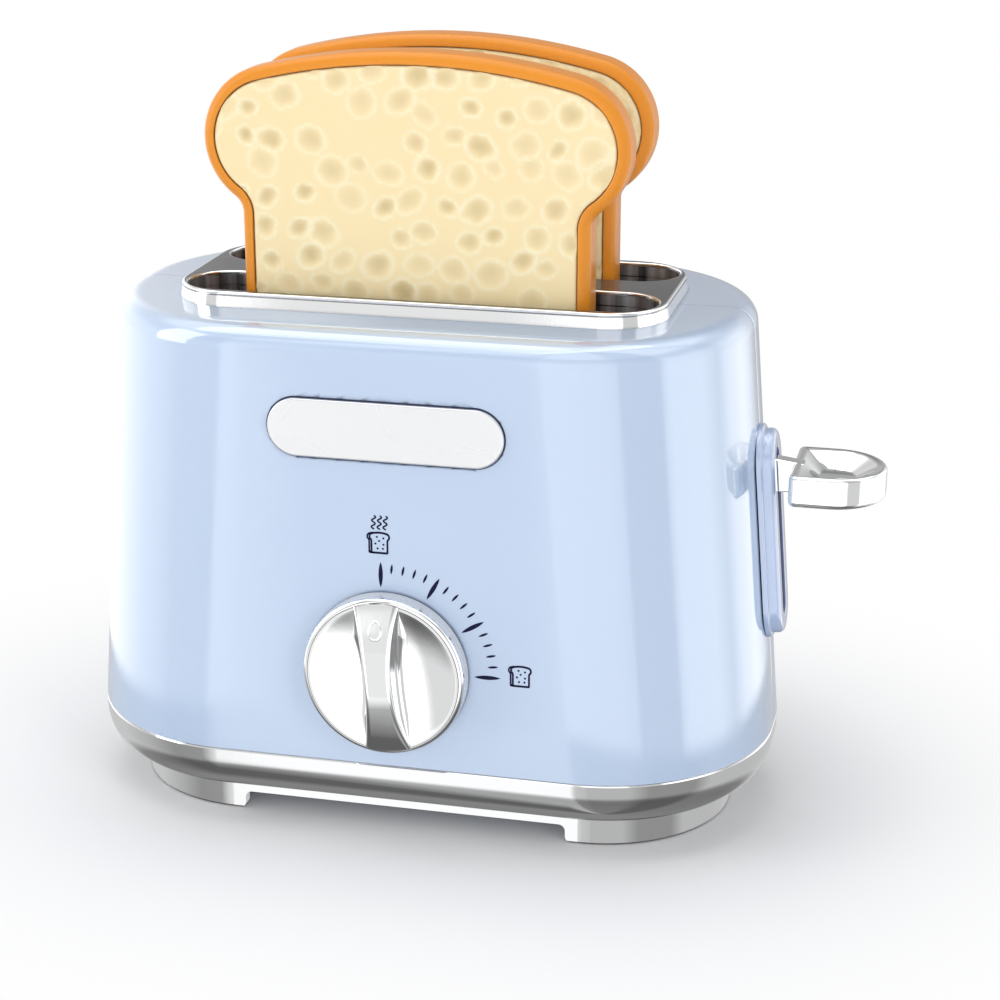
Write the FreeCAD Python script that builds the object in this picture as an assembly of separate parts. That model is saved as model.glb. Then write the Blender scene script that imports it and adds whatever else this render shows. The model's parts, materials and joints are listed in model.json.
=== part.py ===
import FreeCAD, Part
import math
import os
from FreeCAD import Vector

# Toy pop-up toaster for pretend play, in millimetres.
# +Z is up, -Y is the front with the dial, +X is the side with the lever.
# At rest the carriage is up, the dial's grip leans just left of twelve o'clock and the latch is let go.
# It is drawn about the middle of the casing. Each piece is moved as it is written out, so that
# the origin is on the table under the middle of the whole toy's box.

# Casing: two glossy shells that meet on the plane Y = 0
HALF_DEPTH = 36.0
HALF_WIDTH_BOTTOM = 67.0
WALL_LEAN = 6.8
END_FLAT_HALF = 3.0
SHELL_BOTTOM = 16.0
SHELL_TOP = 98.2
SHOULDER = 4.0
WALL = 2.0
SEAM_TONGUE = 1.6
FIT_GAP = 0.1

# Chrome collar on top, with one throat for each slice
COLLAR_SIDE_BORDER = 13.8
COLLAR_CORNER = 11.4
COLLAR_HEIGHT = 2.8
COLLAR_EDGE = 0.45
SLOT_END_STRIP = 1.9
SLOT_SIDE_STRIP = 2.2
SLOT_SIDE_GAP = 3.3
SLICE_PITCH = 24.0
THROAT_WALL = 1.0
THROAT_DEPTH = 8.2

# Base: a chrome band with a rounded underside on a chrome plinth with two long feet
BAND_BOTTOM = 6.0
BAND_ROUND = 8.0
BAND_WALL = 2.2
BAND_LIP_HEIGHT = 3.0
BAND_TOP_EDGE = 0.3
PLINTH_WALL = 2.2
PLINTH_LEDGE = 2.5
LEDGE_THICKNESS = 1.2
FOOT_LENGTH = 27.4
FOOT_GAP_HEIGHT = 3.6
FOOT_GAP_ROUND = 1.3
COVER_THICKNESS = 2.2

# Slices: an orange crust ring with a cream crumb panel in each face
SLICE_THICKNESS = 8.0
SLICE_BOTTOM = 73.0
SLICE_HEIGHT = 71.9
CRUST = 2.3
CRUST_ROUND = 2.0
EAR_END_GAP = 4.9
NECK_INSET = 7.0
EAR_RADIUS = 11.0
ARCH_RADIUS = 117.4
WAIST_RADIUS = 6.0
SLICE_FOOT_CORNER = 2.0
CRUMB_THICKNESS = 2.0
CRUMB_EDGE = 0.5
CRUMB_GAP = 0.12
CRUST_LEDGE = 1.6

# Carriage that lifts the slices on two steel rods, with its spring
TRAVEL = 21.0
TRAY_FLOOR = 1.8
TRAY_LIP = 4.0
TRAY_WALL = 1.2
SEAT_GAP = 0.3
TRAY_SIDE_GAP = 0.5
ROD_RADIUS = 1.5
ROD_THROAT_GAP = 1.0
ROD_TOP_COVER = 3.2
ROD_BOTTOM = 8.0
ROD_CLEARANCE = 0.08
SLEEVE_RADIUS = 3.5
SLEEVE_LENGTH = 12.0
SPINE_HALF = 2.0
SPINE_HEIGHT = 5.5
ROD_SOCKET_TOP = 22.0
SPRING_WIRE = 0.8
SPRING_TURNS = 8
SPRING_SLACK = 0.3

# Lever: chrome paddle on a flat stem through the side slot
STEM_THICKNESS = 3.2
STEM_BOTTOM = 61.0
STEM_TOP = 70.5
STEM_CLAMP = 3.1
PADDLE_LENGTH = 17.2
PADDLE_REACH = 19.0
PADDLE_HALF_Y = 10.0
PADDLE_BOTTOM = 63.5
PADDLE_TOP = 69.5
PADDLE_EDGE = 1.2
DISH_RIM = 1.6
DISH_DEPTH = 2.4
DISH_SLOPE = 5.2
LEVER_SCREW_GAP = 0.25
STEM_SLOT_END_GAP = 1.0

# Oval bezel round the lever's slot
BEZEL_HALF_Y = 6.2
BEZEL_PROUD = 3.2
BEZEL_BOTTOM = 35.2
BEZEL_TOP = 75.2
BEZEL_FLANGE = 0.9
BEZEL_FLANGE_PROUD = 1.0
BEZEL_EDGE = 1.1
BEZEL_SLEEVE_WALL = 1.0
STEM_SIDE_GAP = 0.5

# Blank chrome plate on the front
PLATE_HALF_X = 21.75
PLATE_HEIGHT = 10.8
PLATE_DROP = 17.3
PLATE_PROUD = 0.8
PLATE_SUNK = 0.5
PLATE_GAP = 0.3
PLATE_EDGE = 0.4
PLATE_PIN_X = 14.0
PLATE_PIN_RADIUS = 1.2

# Dial knob
DIAL_Z = 35.6
KNOB_RADIUS = 15.2
KNOB_PROUD = 8.0
KNOB_DISC_THICKNESS = 4.0
KNOB_RIM = 1.3
KNOB_RIM_ROUND = 0.9
KNOB_DISH_DEPTH = 1.5
GRIP_END_HALF = 4.3
GRIP_WAIST_HALF = 2.45
GRIP_INSET = 0.7
GRIP_EDGE = 0.5
GRIP_TILT = 4.0
SPINDLE_RADIUS = 3.0
SPINDLE_FLAT = 2.3
JOURNAL_RADIUS = 2.5
KNOB_SOCKET_DEPTH = 5.0
SPINDLE_SHOULDER = 1.4
SPINDLE_TIP_RADIUS = 1.9
SPINDLE_TIP_FLAT = 1.4

# Release works behind the dial, in layers from the front wall inwards
CLICK_DEPTH = 3.6
CLICK_THICKNESS = 1.4
CAM_GAP = 0.6
CAM_THICKNESS = 2.6
FRAME_GAP = 1.0
FRAME_THICKNESS = 2.0
DIAL_SWEEP = 90.0
LATCH_SWEEP = 9.0
CAM_RADIUS = 10.5
CAM_HEEL_RADIUS = 7.0
FOLLOWER_RADIUS = 1.5
FOLLOWER_GAP = 0.2
LATCH_X = 18.5
LATCH_Z = 20.0
LATCH_ARM_HALF = 1.75
LATCH_PIN_RADIUS = 1.5
LATCH_HUB_RADIUS = 4.0
HOOK_REACH = 2.4
HOOK_HEIGHT = 3.0
HOOK_GAP = 0.35
CATCH_X = 10.6
CATCH_THICKNESS = 2.0
CATCH_NOSE = 3.0
CATCH_NOSE_HEIGHT = 3.0
CATCH_NOSE_TOP = 67.0
CLICK_RADIUS = 8.2
CLICK_TEETH = 60
CLICK_TOOTH = 0.45
LEAF_THICKNESS = 0.4
LEAF_GAP = 0.3
LEAF_BEND = 1.3
LEAF_REACH = 16.0
LEAF_CLAMP = 5.0
TORSION_WIRE = 0.5
TORSION_RADIUS = 2.45
TORSION_LEG = 14.0
TORSION_STOP_REACH = 8.5
FRAME_CORNER = 3.0

# Fasteners
SCREW_RADIUS = 1.3
SCREW_HEAD_RADIUS = 2.5
SCREW_HEAD_HEIGHT = 1.6
CROSS_WIDTH = 0.6
CROSS_DEPTH = 0.9
BOSS_RADIUS = 3.0
TOP_BOSS_RADIUS = 2.6
BOSS_NOTCH_GAP = 0.3
SHELL_SCREW_LOW_INSET = 10.0
SHELL_SCREW_LOW_Z = 24.0
SHELL_SCREW_HIGH_INSET = 4.2
SHELL_SCREW_HIGH_DROP = 18.2
SHELL_SCREW_RECESS = 24.0
SHELL_SCREW_LENGTH = 20.0
BASE_SCREW_ROD_GAP = 8.0
BASE_SCREW_INSET = 18.0
BASE_POST_TOP = 32.0
BASE_SCREW_LENGTH = 12.0
RIB = 1.6
FRAME_POSTS = ((-17.0, 44.0), (-15.0, 21.0), (31.0, 24.0))
FRAME_SCREW_LENGTH = 7.0

# Places worked out from the sizes above
TAPER = WALL_LEAN / (SHELL_TOP - SHELL_BOTTOM)
HALF_WIDTH_TOP = HALF_WIDTH_BOTTOM - WALL_LEAN
CORNER = HALF_DEPTH - END_FLAT_HALF
FRONT_FACE = -HALF_DEPTH
FRONT_INNER = FRONT_FACE + WALL
COLLAR_TOP = SHELL_TOP + COLLAR_HEIGHT
COLLAR_HALF_X = HALF_WIDTH_TOP - COLLAR_SIDE_BORDER
SLOT_HALF_X = COLLAR_HALF_X - SLOT_END_STRIP
SLOT_WIDTH = SLICE_THICKNESS + 2 * SLOT_SIDE_GAP
COLLAR_HALF_Y = (SLICE_PITCH + SLOT_WIDTH) / 2 + SLOT_SIDE_STRIP
THROAT_BOTTOM = SHELL_TOP - THROAT_DEPTH
SLICE_TOP = SLICE_BOTTOM + SLICE_HEIGHT
EAR_HALF = SLOT_HALF_X - EAR_END_GAP - CRUST
NECK_HALF = EAR_HALF - NECK_INSET
ROD_X = SLOT_HALF_X + THROAT_WALL + ROD_THROAT_GAP + SLEEVE_RADIUS
ROD_TOP = SHELL_TOP - ROD_TOP_COVER
FOOT_GAP_HALF = HALF_WIDTH_BOTTOM - BAND_ROUND - FOOT_LENGTH
PLATE_Z = SHELL_TOP - PLATE_DROP
PADDLE_END = HALF_WIDTH_BOTTOM + PADDLE_REACH
PADDLE_START = PADDLE_END - PADDLE_LENGTH
KNOB_FRONT = FRONT_FACE - KNOB_PROUD
CLICK_FRONT = FRONT_INNER + CLICK_DEPTH
CLICK_BACK = CLICK_FRONT + CLICK_THICKNESS
CAM_FRONT = CLICK_BACK + CAM_GAP
CAM_BACK = CAM_FRONT + CAM_THICKNESS
FRAME_FRONT = CAM_BACK + FRAME_GAP
TRAY_TOP = SLICE_BOTTOM - SEAT_GAP
TRAY_BOTTOM = TRAY_TOP - TRAY_FLOOR
SLEEVE_TOP = SLICE_BOTTOM
SLEEVE_BOTTOM = SLEEVE_TOP - SLEEVE_LENGTH
ROD_BOSS_BOTTOM = SLEEVE_TOP + SEAT_GAP
STEM_Z = (STEM_BOTTOM + STEM_TOP) / 2
SLOT_BOTTOM = STEM_BOTTOM - TRAVEL - STEM_SLOT_END_GAP
SLOT_TOP = STEM_TOP + STEM_SLOT_END_GAP
SLOT_HALF_Y = STEM_THICKNESS / 2 + STEM_SIDE_GAP
BEZEL_Z = (BEZEL_BOTTOM + BEZEL_TOP) / 2
BEZEL_HALF_Z = (BEZEL_TOP - BEZEL_BOTTOM) / 2
KNOB_BACK = FRONT_FACE - SEAT_GAP
KNOB_DISC_FRONT = KNOB_BACK - KNOB_DISC_THICKNESS
FRAME_BACK = FRAME_FRONT + FRAME_THICKNESS
LEDGE_TOP = BAND_BOTTOM
LEDGE_BOTTOM = LEDGE_TOP - LEDGE_THICKNESS
COVER_BOTTOM = BAND_BOTTOM - COVER_THICKNESS
BASE_SCREW_SEAT = COVER_BOTTOM + COVER_THICKNESS / 2
BASE_SCREW_X = ROD_X - BASE_SCREW_ROD_GAP
BASE_SCREW_Y = HALF_DEPTH - BASE_SCREW_INSET
SHELL_SCREW_SEAT = HALF_DEPTH - SHELL_SCREW_RECESS
SHELL_SCREWS = (
    (HALF_WIDTH_BOTTOM - SHELL_SCREW_LOW_INSET, SHELL_SCREW_LOW_Z),
    (HALF_WIDTH_TOP - SHELL_SCREW_HIGH_INSET, SHELL_TOP - SHELL_SCREW_HIGH_DROP),
)
LEVER_SCREW_X = (
    HALF_WIDTH_BOTTOM
    - (SLOT_TOP + BEZEL_SLEEVE_WALL - SHELL_BOTTOM) * TAPER
    - WALL
    - SCREW_HEAD_RADIUS
    - LEVER_SCREW_GAP
)
STEM_INNER_END = LEVER_SCREW_X - STEM_CLAMP
ORIGIN_X = (PADDLE_END - HALF_WIDTH_BOTTOM) / 2
ORIGIN_Y = (HALF_DEPTH + KNOB_FRONT) / 2
SLICE_CENTRES = (("front", -SLICE_PITCH / 2), ("rear", SLICE_PITCH / 2))
SHOW_SIDES = (-1, 1)
UP = Vector(0, 0, 1)
BACK = Vector(0, 1, 0)
RIGHT = Vector(1, 0, 0)


# Shared shapes

def on_xy(z):
    return lambda a, b: Vector(a, b, z)


def on_xz(y):
    return lambda a, b: Vector(a, y, b)


def on_yz(x):
    return lambda a, b: Vector(x, a, b)


def rounded_outline(corners, place):
    """A closed wire through (a, b, radius) corners, each rounded by a tangent arc."""
    edges = []
    starts, ends = [], []
    count = len(corners)
    for i, (a, b, radius) in enumerate(corners):
        here = Vector(a, b, 0)
        before = Vector(*corners[i - 1][:2], 0)
        after = Vector(*corners[(i + 1) % count][:2], 0)
        to_before = (before - here).normalize()
        to_after = (after - here).normalize()
        half_turn = to_before.getAngle(to_after) / 2
        reach = radius / math.tan(half_turn)
        start = here + to_before * reach
        end = here + to_after * reach
        starts.append(start)
        ends.append(end)
        if radius > 0:
            bisector = (to_before + to_after).normalize()
            centre = here + bisector * (radius / math.sin(half_turn))
            middle = centre - bisector * radius
            edges.append(Part.Arc(*(place(p.x, p.y) for p in (start, middle, end))).toShape())
        else:
            edges.append(None)
    joined = []
    for i in range(count):
        if edges[i] is not None:
            joined.append(edges[i])
        here, there = ends[i], starts[(i + 1) % count]
        if here.distanceToPoint(there) > 1e-6:
            joined.append(Part.LineSegment(place(here.x, here.y), place(there.x, there.y)).toShape())
    return Part.Wire(joined)


def rounded_rectangle(half_a, half_b, radius, place, centre=(0.0, 0.0)):
    ca, cb = centre
    signs = ((1, -1), (1, 1), (-1, 1), (-1, -1))
    return rounded_outline([(ca + sa * half_a, cb + sb * half_b, radius) for sa, sb in signs], place)


def stadium(half_a, half_b, place, centre=(0.0, 0.0)):
    """A slot outline whose ends are half circles of the shorter half size."""
    ca, cb = centre
    r = min(half_a, half_b)
    la, lb = half_a - r, half_b - r
    if half_a >= half_b:
        ends = ((ca + la, cb, RIGHT), (ca - la, cb, -RIGHT))
        arcs = [((x, y - r * s), (x + r * s, y), (x, y + r * s)) for (x, y, _), s in zip(ends, (1, -1))]
    else:
        ends = ((ca, cb + lb), (ca, cb - lb))
        arcs = [((x + r * s, y), (x, y + r * s), (x - r * s, y)) for (x, y), s in zip(ends, (1, -1))]
    first, second = ([place(*p) for p in arc] for arc in arcs)
    edges = [
        Part.Arc(*first).toShape(),
        Part.LineSegment(first[2], second[0]).toShape(),
        Part.Arc(*second).toShape(),
        Part.LineSegment(second[2], first[0]).toShape(),
    ]
    return Part.Wire(edges)


def prism(wire, along):
    return Part.Face(wire).extrude(along)


def rod_y(x, z, front, back, radius):
    return Part.makeCylinder(radius, back - front, Vector(x, front, z), BACK)


def rod_z(x, y, low, high, radius):
    return Part.makeCylinder(radius, high - low, Vector(x, y, low), UP)


def block(x, y, z):
    return Part.makeBox(x[1] - x[0], y[1] - y[0], z[1] - z[0], Vector(x[0], y[0], z[0]))


def d_section(front, back, radius, flat):
    """A shaft along Y on the dial's axis, with one flat above the axis."""
    shaft = rod_y(0, DIAL_Z, front, back, radius)
    above = block((-radius, radius), (front, back), (DIAL_Z + flat, DIAL_Z + 2 * radius))
    return shaft.cut(above)


def edges_where(shape, test):
    return [e for e in shape.Edges if all(test(v.Point) for v in e.Vertexes)]


def rounded(shape, radius, test):
    return shape.makeFillet(radius, edges_where(shape, test))


def near(value, target):
    return abs(value - target) < 1e-4


def screw(head, tip_direction, length):
    """A pan-head screw: head is the middle of the seat under the head."""
    shank = Part.makeCylinder(SCREW_RADIUS, length, head, tip_direction)
    cap = Part.makeCylinder(SCREW_HEAD_RADIUS, SCREW_HEAD_HEIGHT, head, -tip_direction)
    top = head - tip_direction * SCREW_HEAD_HEIGHT
    crown = [e for e in cap.Edges if len(e.Vertexes) == 1 and near((e.CenterOfMass - top).Length, 0)]
    cap = cap.makeFillet(SCREW_HEAD_HEIGHT / 3, crown)
    across = RIGHT
    other = tip_direction.cross(across)
    for long_way, short_way in ((across, other), (other, across)):
        corner = top - long_way * SCREW_HEAD_RADIUS * 0.6 - short_way * CROSS_WIDTH / 2
        points = [
            corner,
            corner + long_way * SCREW_HEAD_RADIUS * 1.2,
            corner + long_way * SCREW_HEAD_RADIUS * 1.2 + short_way * CROSS_WIDTH,
            corner + short_way * CROSS_WIDTH,
            corner,
        ]
        cap = cap.cut(Part.Face(Part.makePolygon(points)).extrude(tip_direction * CROSS_DEPTH))
    return cap.fuse(shank).removeSplitter()


def wound(start_leg, points, end_leg, wire):
    """One unbroken wire: a straight leg, arcs through points two at a time, and a second leg."""
    path = []
    if start_leg is not None:
        path.append(Part.LineSegment(start_leg, points[0]).toShape())
    for i in range(0, len(points) - 2, 2):
        path.append(Part.Arc(*points[i:i + 3]).toShape())
    if end_leg is not None:
        path.append(Part.LineSegment(points[-1], end_leg).toShape())
    spine = Part.Wire(path)
    first = spine.Edges[0]
    ahead = first.tangentAt(first.FirstParameter)
    ring = Part.Wire(Part.makeCircle(wire / 2, first.valueAt(first.FirstParameter), ahead))
    return spine.makePipeShell([ring], True, False)


def least_gap(points, per_turn, wire):
    """The smallest clear space between places on a coil that are over half a turn apart."""
    apart = per_turn // 2 + 1
    return min((b - a).Length for i, a in enumerate(points) for b in points[i + apart:]) - wire


# Casing

def half_width(z):
    return HALF_WIDTH_BOTTOM - (z - SHELL_BOTTOM) * TAPER


def body_form(low, high, inset):
    """The tapered casing between two heights, drawn in all round by inset."""
    wires = [
        rounded_rectangle(half_width(z) - inset, HALF_DEPTH - inset, CORNER - inset, on_xy(z))
        for z in (low, high)
    ]
    return Part.makeLoft(wires, True, True)


def casing_outside():
    form = body_form(SHELL_BOTTOM, SHELL_TOP, 0)
    return rounded(form, SHOULDER, lambda p: near(p.z, SHELL_TOP))


def throat_outline(y, grow, z):
    return stadium(SLOT_HALF_X + grow, SLOT_WIDTH / 2 + grow, on_xy(z), (0, y))


def lever_opening(grow):
    """The upright slot for the stem, as a prism along X through the right-hand wall."""
    reach = HALF_WIDTH_BOTTOM + BEZEL_PROUD + WALL
    start = half_width(SHELL_TOP) - 3 * WALL
    outline = stadium(
        SLOT_HALF_Y + grow,
        (SLOT_TOP - SLOT_BOTTOM) / 2 + grow,
        on_yz(start),
        (0, (SLOT_TOP + SLOT_BOTTOM) / 2),
    )
    return prism(outline, RIGHT * (reach - start))


def wall_bosses():
    """The bosses that stand on the front wall, low down: x, z and radius."""
    bosses = [(x, z, TOP_BOSS_RADIUS) for x, z in FRAME_POSTS]
    bosses.append((torsion_stop_x(), torsion_stop_z(), 2 * TORSION_WIRE))
    return bosses + [(LATCH_X, LATCH_Z, BOSS_RADIUS)]


def shell_bosses(outside):
    """Screw bosses, rod sockets, posts and ribs, trimmed to the inside of the casing."""
    parts = []
    for side in SHOW_SIDES:
        for x, z in SHELL_SCREWS:
            radius = BOSS_RADIUS if z < DIAL_Z else TOP_BOSS_RADIUS
            parts.append(rod_y(side * x, z, -HALF_DEPTH, HALF_DEPTH, radius))
        parts.append(rod_z(side * ROD_X, 0, ROD_BOSS_BOTTOM, SHELL_TOP - WALL / 2, SLEEVE_RADIUS))
        rib_x = sorted((side * ROD_X, side * HALF_WIDTH_TOP))
        rib_z = (SHELL_SCREWS[1][1] - TOP_BOSS_RADIUS, SHELL_TOP - WALL / 2)
        parts.append(block(rib_x, (-RIB, RIB), rib_z))
        for end in SHOW_SIDES:
            x, y = side * BASE_SCREW_X, end * BASE_SCREW_Y
            parts.append(rod_z(x, y, SHELL_BOTTOM, BASE_POST_TOP, BOSS_RADIUS))
            rib_y = sorted((y, end * HALF_DEPTH))
            rib_low = SHELL_BOTTOM + BAND_LIP_HEIGHT + SEAT_GAP
            parts.append(block((x - RIB / 2, x + RIB / 2), rib_y, (rib_low, BASE_POST_TOP)))
    for x, z in FRAME_POSTS:
        parts.append(rod_y(x, z, FRONT_FACE, FRAME_FRONT, TOP_BOSS_RADIUS))
    parts.append(rod_y(0, DIAL_Z, FRONT_FACE, CLICK_FRONT - SEAT_GAP, SPINDLE_RADIUS + WALL))
    parts.append(rod_y(LATCH_X, LATCH_Z, FRONT_FACE, torsion_front() - SEAT_GAP, BOSS_RADIUS))
    parts.append(rod_y(torsion_stop_x(), torsion_stop_z(), FRONT_FACE, torsion_back(), TORSION_WIRE * 2))
    parts.append(leaf_post())
    return [p.common(outside) for p in parts]


def base_posts():
    """The lower ends of the four base posts, below the shells' rim."""
    return [
        (x, y, rod_z(x, y, BAND_BOTTOM + SEAT_GAP, SHELL_BOTTOM + WALL, BOSS_RADIUS))
        for x in (-BASE_SCREW_X, BASE_SCREW_X)
        for y in (-BASE_SCREW_Y, BASE_SCREW_Y)
    ]


def shell_cuts():
    """Everything that is taken out of the two shells together."""
    cuts = []
    for _, y in SLICE_CENTRES:
        low = THROAT_BOTTOM - WALL
        cuts.append(prism(throat_outline(y, THROAT_WALL + FIT_GAP, low), UP * (SHELL_TOP + WALL - low)))
    cuts.append(lever_opening(BEZEL_SLEEVE_WALL + FIT_GAP))
    recess = stadium(
        PLATE_HALF_X + PLATE_GAP,
        PLATE_HEIGHT / 2 + PLATE_GAP,
        on_xz(FRONT_FACE - WALL),
        (0, PLATE_Z),
    )
    cuts.append(prism(recess, BACK * (WALL + PLATE_SUNK)))
    for side in SHOW_SIDES:
        pin_hole = PLATE_PIN_RADIUS + FIT_GAP
        cuts.append(rod_y(side * PLATE_PIN_X, PLATE_Z, FRONT_FACE, FRONT_INNER + WALL, pin_hole))
        rod_hole = ROD_RADIUS + FIT_GAP / 2
        cuts.append(rod_z(side * ROD_X, 0, ROD_BOSS_BOTTOM - WALL, ROD_TOP + FIT_GAP, rod_hole))
        for x, z in SHELL_SCREWS:
            tip = SHELL_SCREW_SEAT - SHELL_SCREW_LENGTH - FIT_GAP
            cuts.append(rod_y(side * x, z, tip, HALF_DEPTH, SCREW_RADIUS + FIT_GAP / 2))
            cuts.append(rod_y(side * x, z, SHELL_SCREW_SEAT, HALF_DEPTH + WALL, SCREW_HEAD_RADIUS + FIT_GAP))
        for end in SHOW_SIDES:
            x, y = side * BASE_SCREW_X, end * BASE_SCREW_Y
            top = BAND_BOTTOM + BASE_SCREW_LENGTH
            cuts.append(rod_z(x, y, BAND_BOTTOM, top, SCREW_RADIUS + FIT_GAP / 2))
    for x, z in FRAME_POSTS:
        tip = FRAME_FRONT - FRAME_SCREW_LENGTH + FRAME_THICKNESS
        cuts.append(rod_y(x, z, tip, FRAME_BACK, SCREW_RADIUS + FIT_GAP / 2))
    cuts.append(rod_y(0, DIAL_Z, FRONT_FACE - WALL, FRAME_FRONT, SPINDLE_RADIUS + ROD_CLEARANCE))
    pin_front = FRONT_INNER + WALL / 2
    cuts.append(rod_y(LATCH_X, LATCH_Z, pin_front, FRAME_FRONT, LATCH_PIN_RADIUS + FIT_GAP / 2))
    cuts.append(leaf_slot())
    return cuts


def casing_shells():
    outside = casing_outside()
    inside = body_form(SHELL_BOTTOM - WALL, SHELL_TOP - WALL, WALL)
    shell = outside.cut(inside)
    shell = shell.fuse(shell_bosses(outside))
    shell = shell.fuse([post for _, _, post in base_posts()])
    shell = shell.cut(shell_cuts())
    reach = 2 * HALF_WIDTH_BOTTOM
    deep = 2 * HALF_DEPTH
    high = 2 * SHELL_TOP
    front = shell.common(block((-reach, reach), (-deep, 0), (-high, high)))
    rear = shell.common(block((-reach, reach), (0, deep), (-high, high)))
    tongue_zone = body_form(SHELL_BOTTOM, SHELL_TOP - WALL / 2, WALL / 2 + FIT_GAP / 2)
    tongue_ring = tongue_zone.cut(inside)
    band_top = SHELL_BOTTOM + BAND_LIP_HEIGHT + WALL
    tongue = tongue_ring.common(block((-reach, reach), (0, SEAM_TONGUE), (band_top, high)))
    groove_zone = body_form(SHELL_BOTTOM, SHELL_TOP - WALL / 2 + FIT_GAP, WALL / 2 - FIT_GAP / 2)
    groove = groove_zone.cut(inside)
    groove = groove.common(block((-reach, reach), (0, SEAM_TONGUE + FIT_GAP), (band_top - FIT_GAP, high)))
    fittings = [
        rod_z(side * ROD_X, 0, ROD_BOSS_BOTTOM, SHELL_TOP, SLEEVE_RADIUS + FIT_GAP) for side in SHOW_SIDES
    ]
    fittings += [
        block(
            sorted((side * ROD_X, side * HALF_WIDTH_BOTTOM)),
            (-RIB, deep),
            (SHELL_SCREWS[1][1] - BOSS_RADIUS, high),
        )
        for side in SHOW_SIDES
    ]
    fittings += [
        rod_y(side * x, z, -deep, deep, BOSS_RADIUS + FIT_GAP) for side in SHOW_SIDES for x, z in SHELL_SCREWS
    ]
    fittings.append(lever_opening(BEZEL_SLEEVE_WALL + 2 * FIT_GAP))
    for _, y in SLICE_CENTRES:
        low = THROAT_BOTTOM - WALL
        fittings.append(prism(throat_outline(y, THROAT_WALL + 2 * FIT_GAP, low), UP * high))
    tongue = tongue.cut(fittings)
    groove = groove.cut(fittings)
    return {"front_shell": front.fuse(tongue), "rear_shell": rear.cut(groove)}


def top_collar():
    outline = rounded_rectangle(COLLAR_HALF_X, COLLAR_HALF_Y, COLLAR_CORNER, on_xy(SHELL_TOP))
    collar = prism(outline, UP * (COLLAR_TOP - SHELL_TOP))
    for _, y in SLICE_CENTRES:
        throat = prism(throat_outline(y, THROAT_WALL, THROAT_BOTTOM), UP * (COLLAR_TOP - THROAT_BOTTOM))
        collar = collar.fuse(throat)
    for _, y in SLICE_CENTRES:
        collar = collar.cut(prism(throat_outline(y, 0, THROAT_BOTTOM), UP * (COLLAR_TOP - THROAT_BOTTOM)))
    collar = collar.removeSplitter()
    return {"top_collar": rounded(collar, COLLAR_EDGE, lambda p: near(p.z, COLLAR_TOP))}


def front_plate():
    back = FRONT_FACE + PLATE_SUNK
    front = FRONT_FACE - PLATE_PROUD
    outline = stadium(PLATE_HALF_X, PLATE_HEIGHT / 2, on_xz(front), (0, PLATE_Z))
    plate = prism(outline, BACK * (back - front))
    plate = rounded(plate, PLATE_EDGE, lambda p: near(p.y, front))
    for side in SHOW_SIDES:
        x = side * PLATE_PIN_X
        plate = plate.fuse(rod_y(x, PLATE_Z, back, FRONT_INNER + WALL / 2, PLATE_PIN_RADIUS))
        head = FRONT_INNER
        plate = plate.fuse(rod_y(x, PLATE_Z, head, head + WALL / 2, PLATE_PIN_RADIUS + WALL / 2))
    return {"front_plate": plate.removeSplitter()}


def slot_bezel():
    start = half_width(SHELL_TOP) - 3 * WALL
    reach = HALF_WIDTH_BOTTOM + 2 * BEZEL_PROUD - start
    centre = (0, BEZEL_Z)
    ring = prism(stadium(BEZEL_HALF_Y, BEZEL_HALF_Z, on_yz(start), centre), RIGHT * reach)
    wide = (BEZEL_HALF_Y + BEZEL_FLANGE, BEZEL_HALF_Z + BEZEL_FLANGE)
    flange = prism(stadium(*wide, on_yz(start), centre), RIGHT * reach)
    low, high = SHELL_BOTTOM, SHELL_TOP
    ring = ring.common(body_form(low, high, -BEZEL_PROUD))
    outer = half_width(BEZEL_Z) + BEZEL_PROUD - TAPER * BEZEL_HALF_Z - BEZEL_PROUD / 2
    ring = rounded(ring, BEZEL_EDGE, lambda p: p.x > outer - HALF_DEPTH / 4 and p.x > start + WALL)
    flange = flange.common(body_form(low, high, -BEZEL_FLANGE_PROUD))
    bezel = ring.fuse(flange).cut(body_form(low, high, 0))
    sleeve = lever_opening(BEZEL_SLEEVE_WALL)
    sleeve = sleeve.common(body_form(low, high, -BEZEL_FLANGE_PROUD / 2)).cut(body_form(low, high, WALL))
    bezel = bezel.fuse(sleeve).cut(lever_opening(0))
    return {"slot_bezel": bezel}


# Base

def base_outline(inset, z):
    return rounded_rectangle(HALF_WIDTH_BOTTOM - inset, HALF_DEPTH - inset, CORNER - inset, on_xy(z))


def base_band():
    height = SHELL_BOTTOM - BAND_BOTTOM
    band = prism(base_outline(0, BAND_BOTTOM), UP * height)
    band = rounded(band, BAND_ROUND, lambda p: near(p.z, BAND_BOTTOM))
    band = band.makeChamfer(BAND_TOP_EDGE, edges_where(band, lambda p: near(p.z, SHELL_BOTTOM)))
    lip_inset = WALL + FIT_GAP
    lip = body_form(SHELL_BOTTOM, SHELL_BOTTOM + BAND_LIP_HEIGHT, lip_inset)
    for x, z, radius in wall_bosses():
        lip = lip.cut(rod_y(x, z, FRONT_FACE, 0, radius + BOSS_NOTCH_GAP))
    hollow_inset = lip_inset + BAND_WALL
    hollow_low = BAND_BOTTOM + BAND_WALL
    hollow = prism(base_outline(hollow_inset, hollow_low), UP * (height + BAND_LIP_HEIGHT))
    hollow = rounded(hollow, BAND_ROUND - BAND_WALL, lambda p: near(p.z, hollow_low))
    floor_hole = prism(base_outline(BAND_ROUND + 2 * PLINTH_WALL, BAND_BOTTOM), UP * height)
    return {"base_band": band.fuse(lip).cut(hollow).cut(floor_hole).removeSplitter()}


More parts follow.
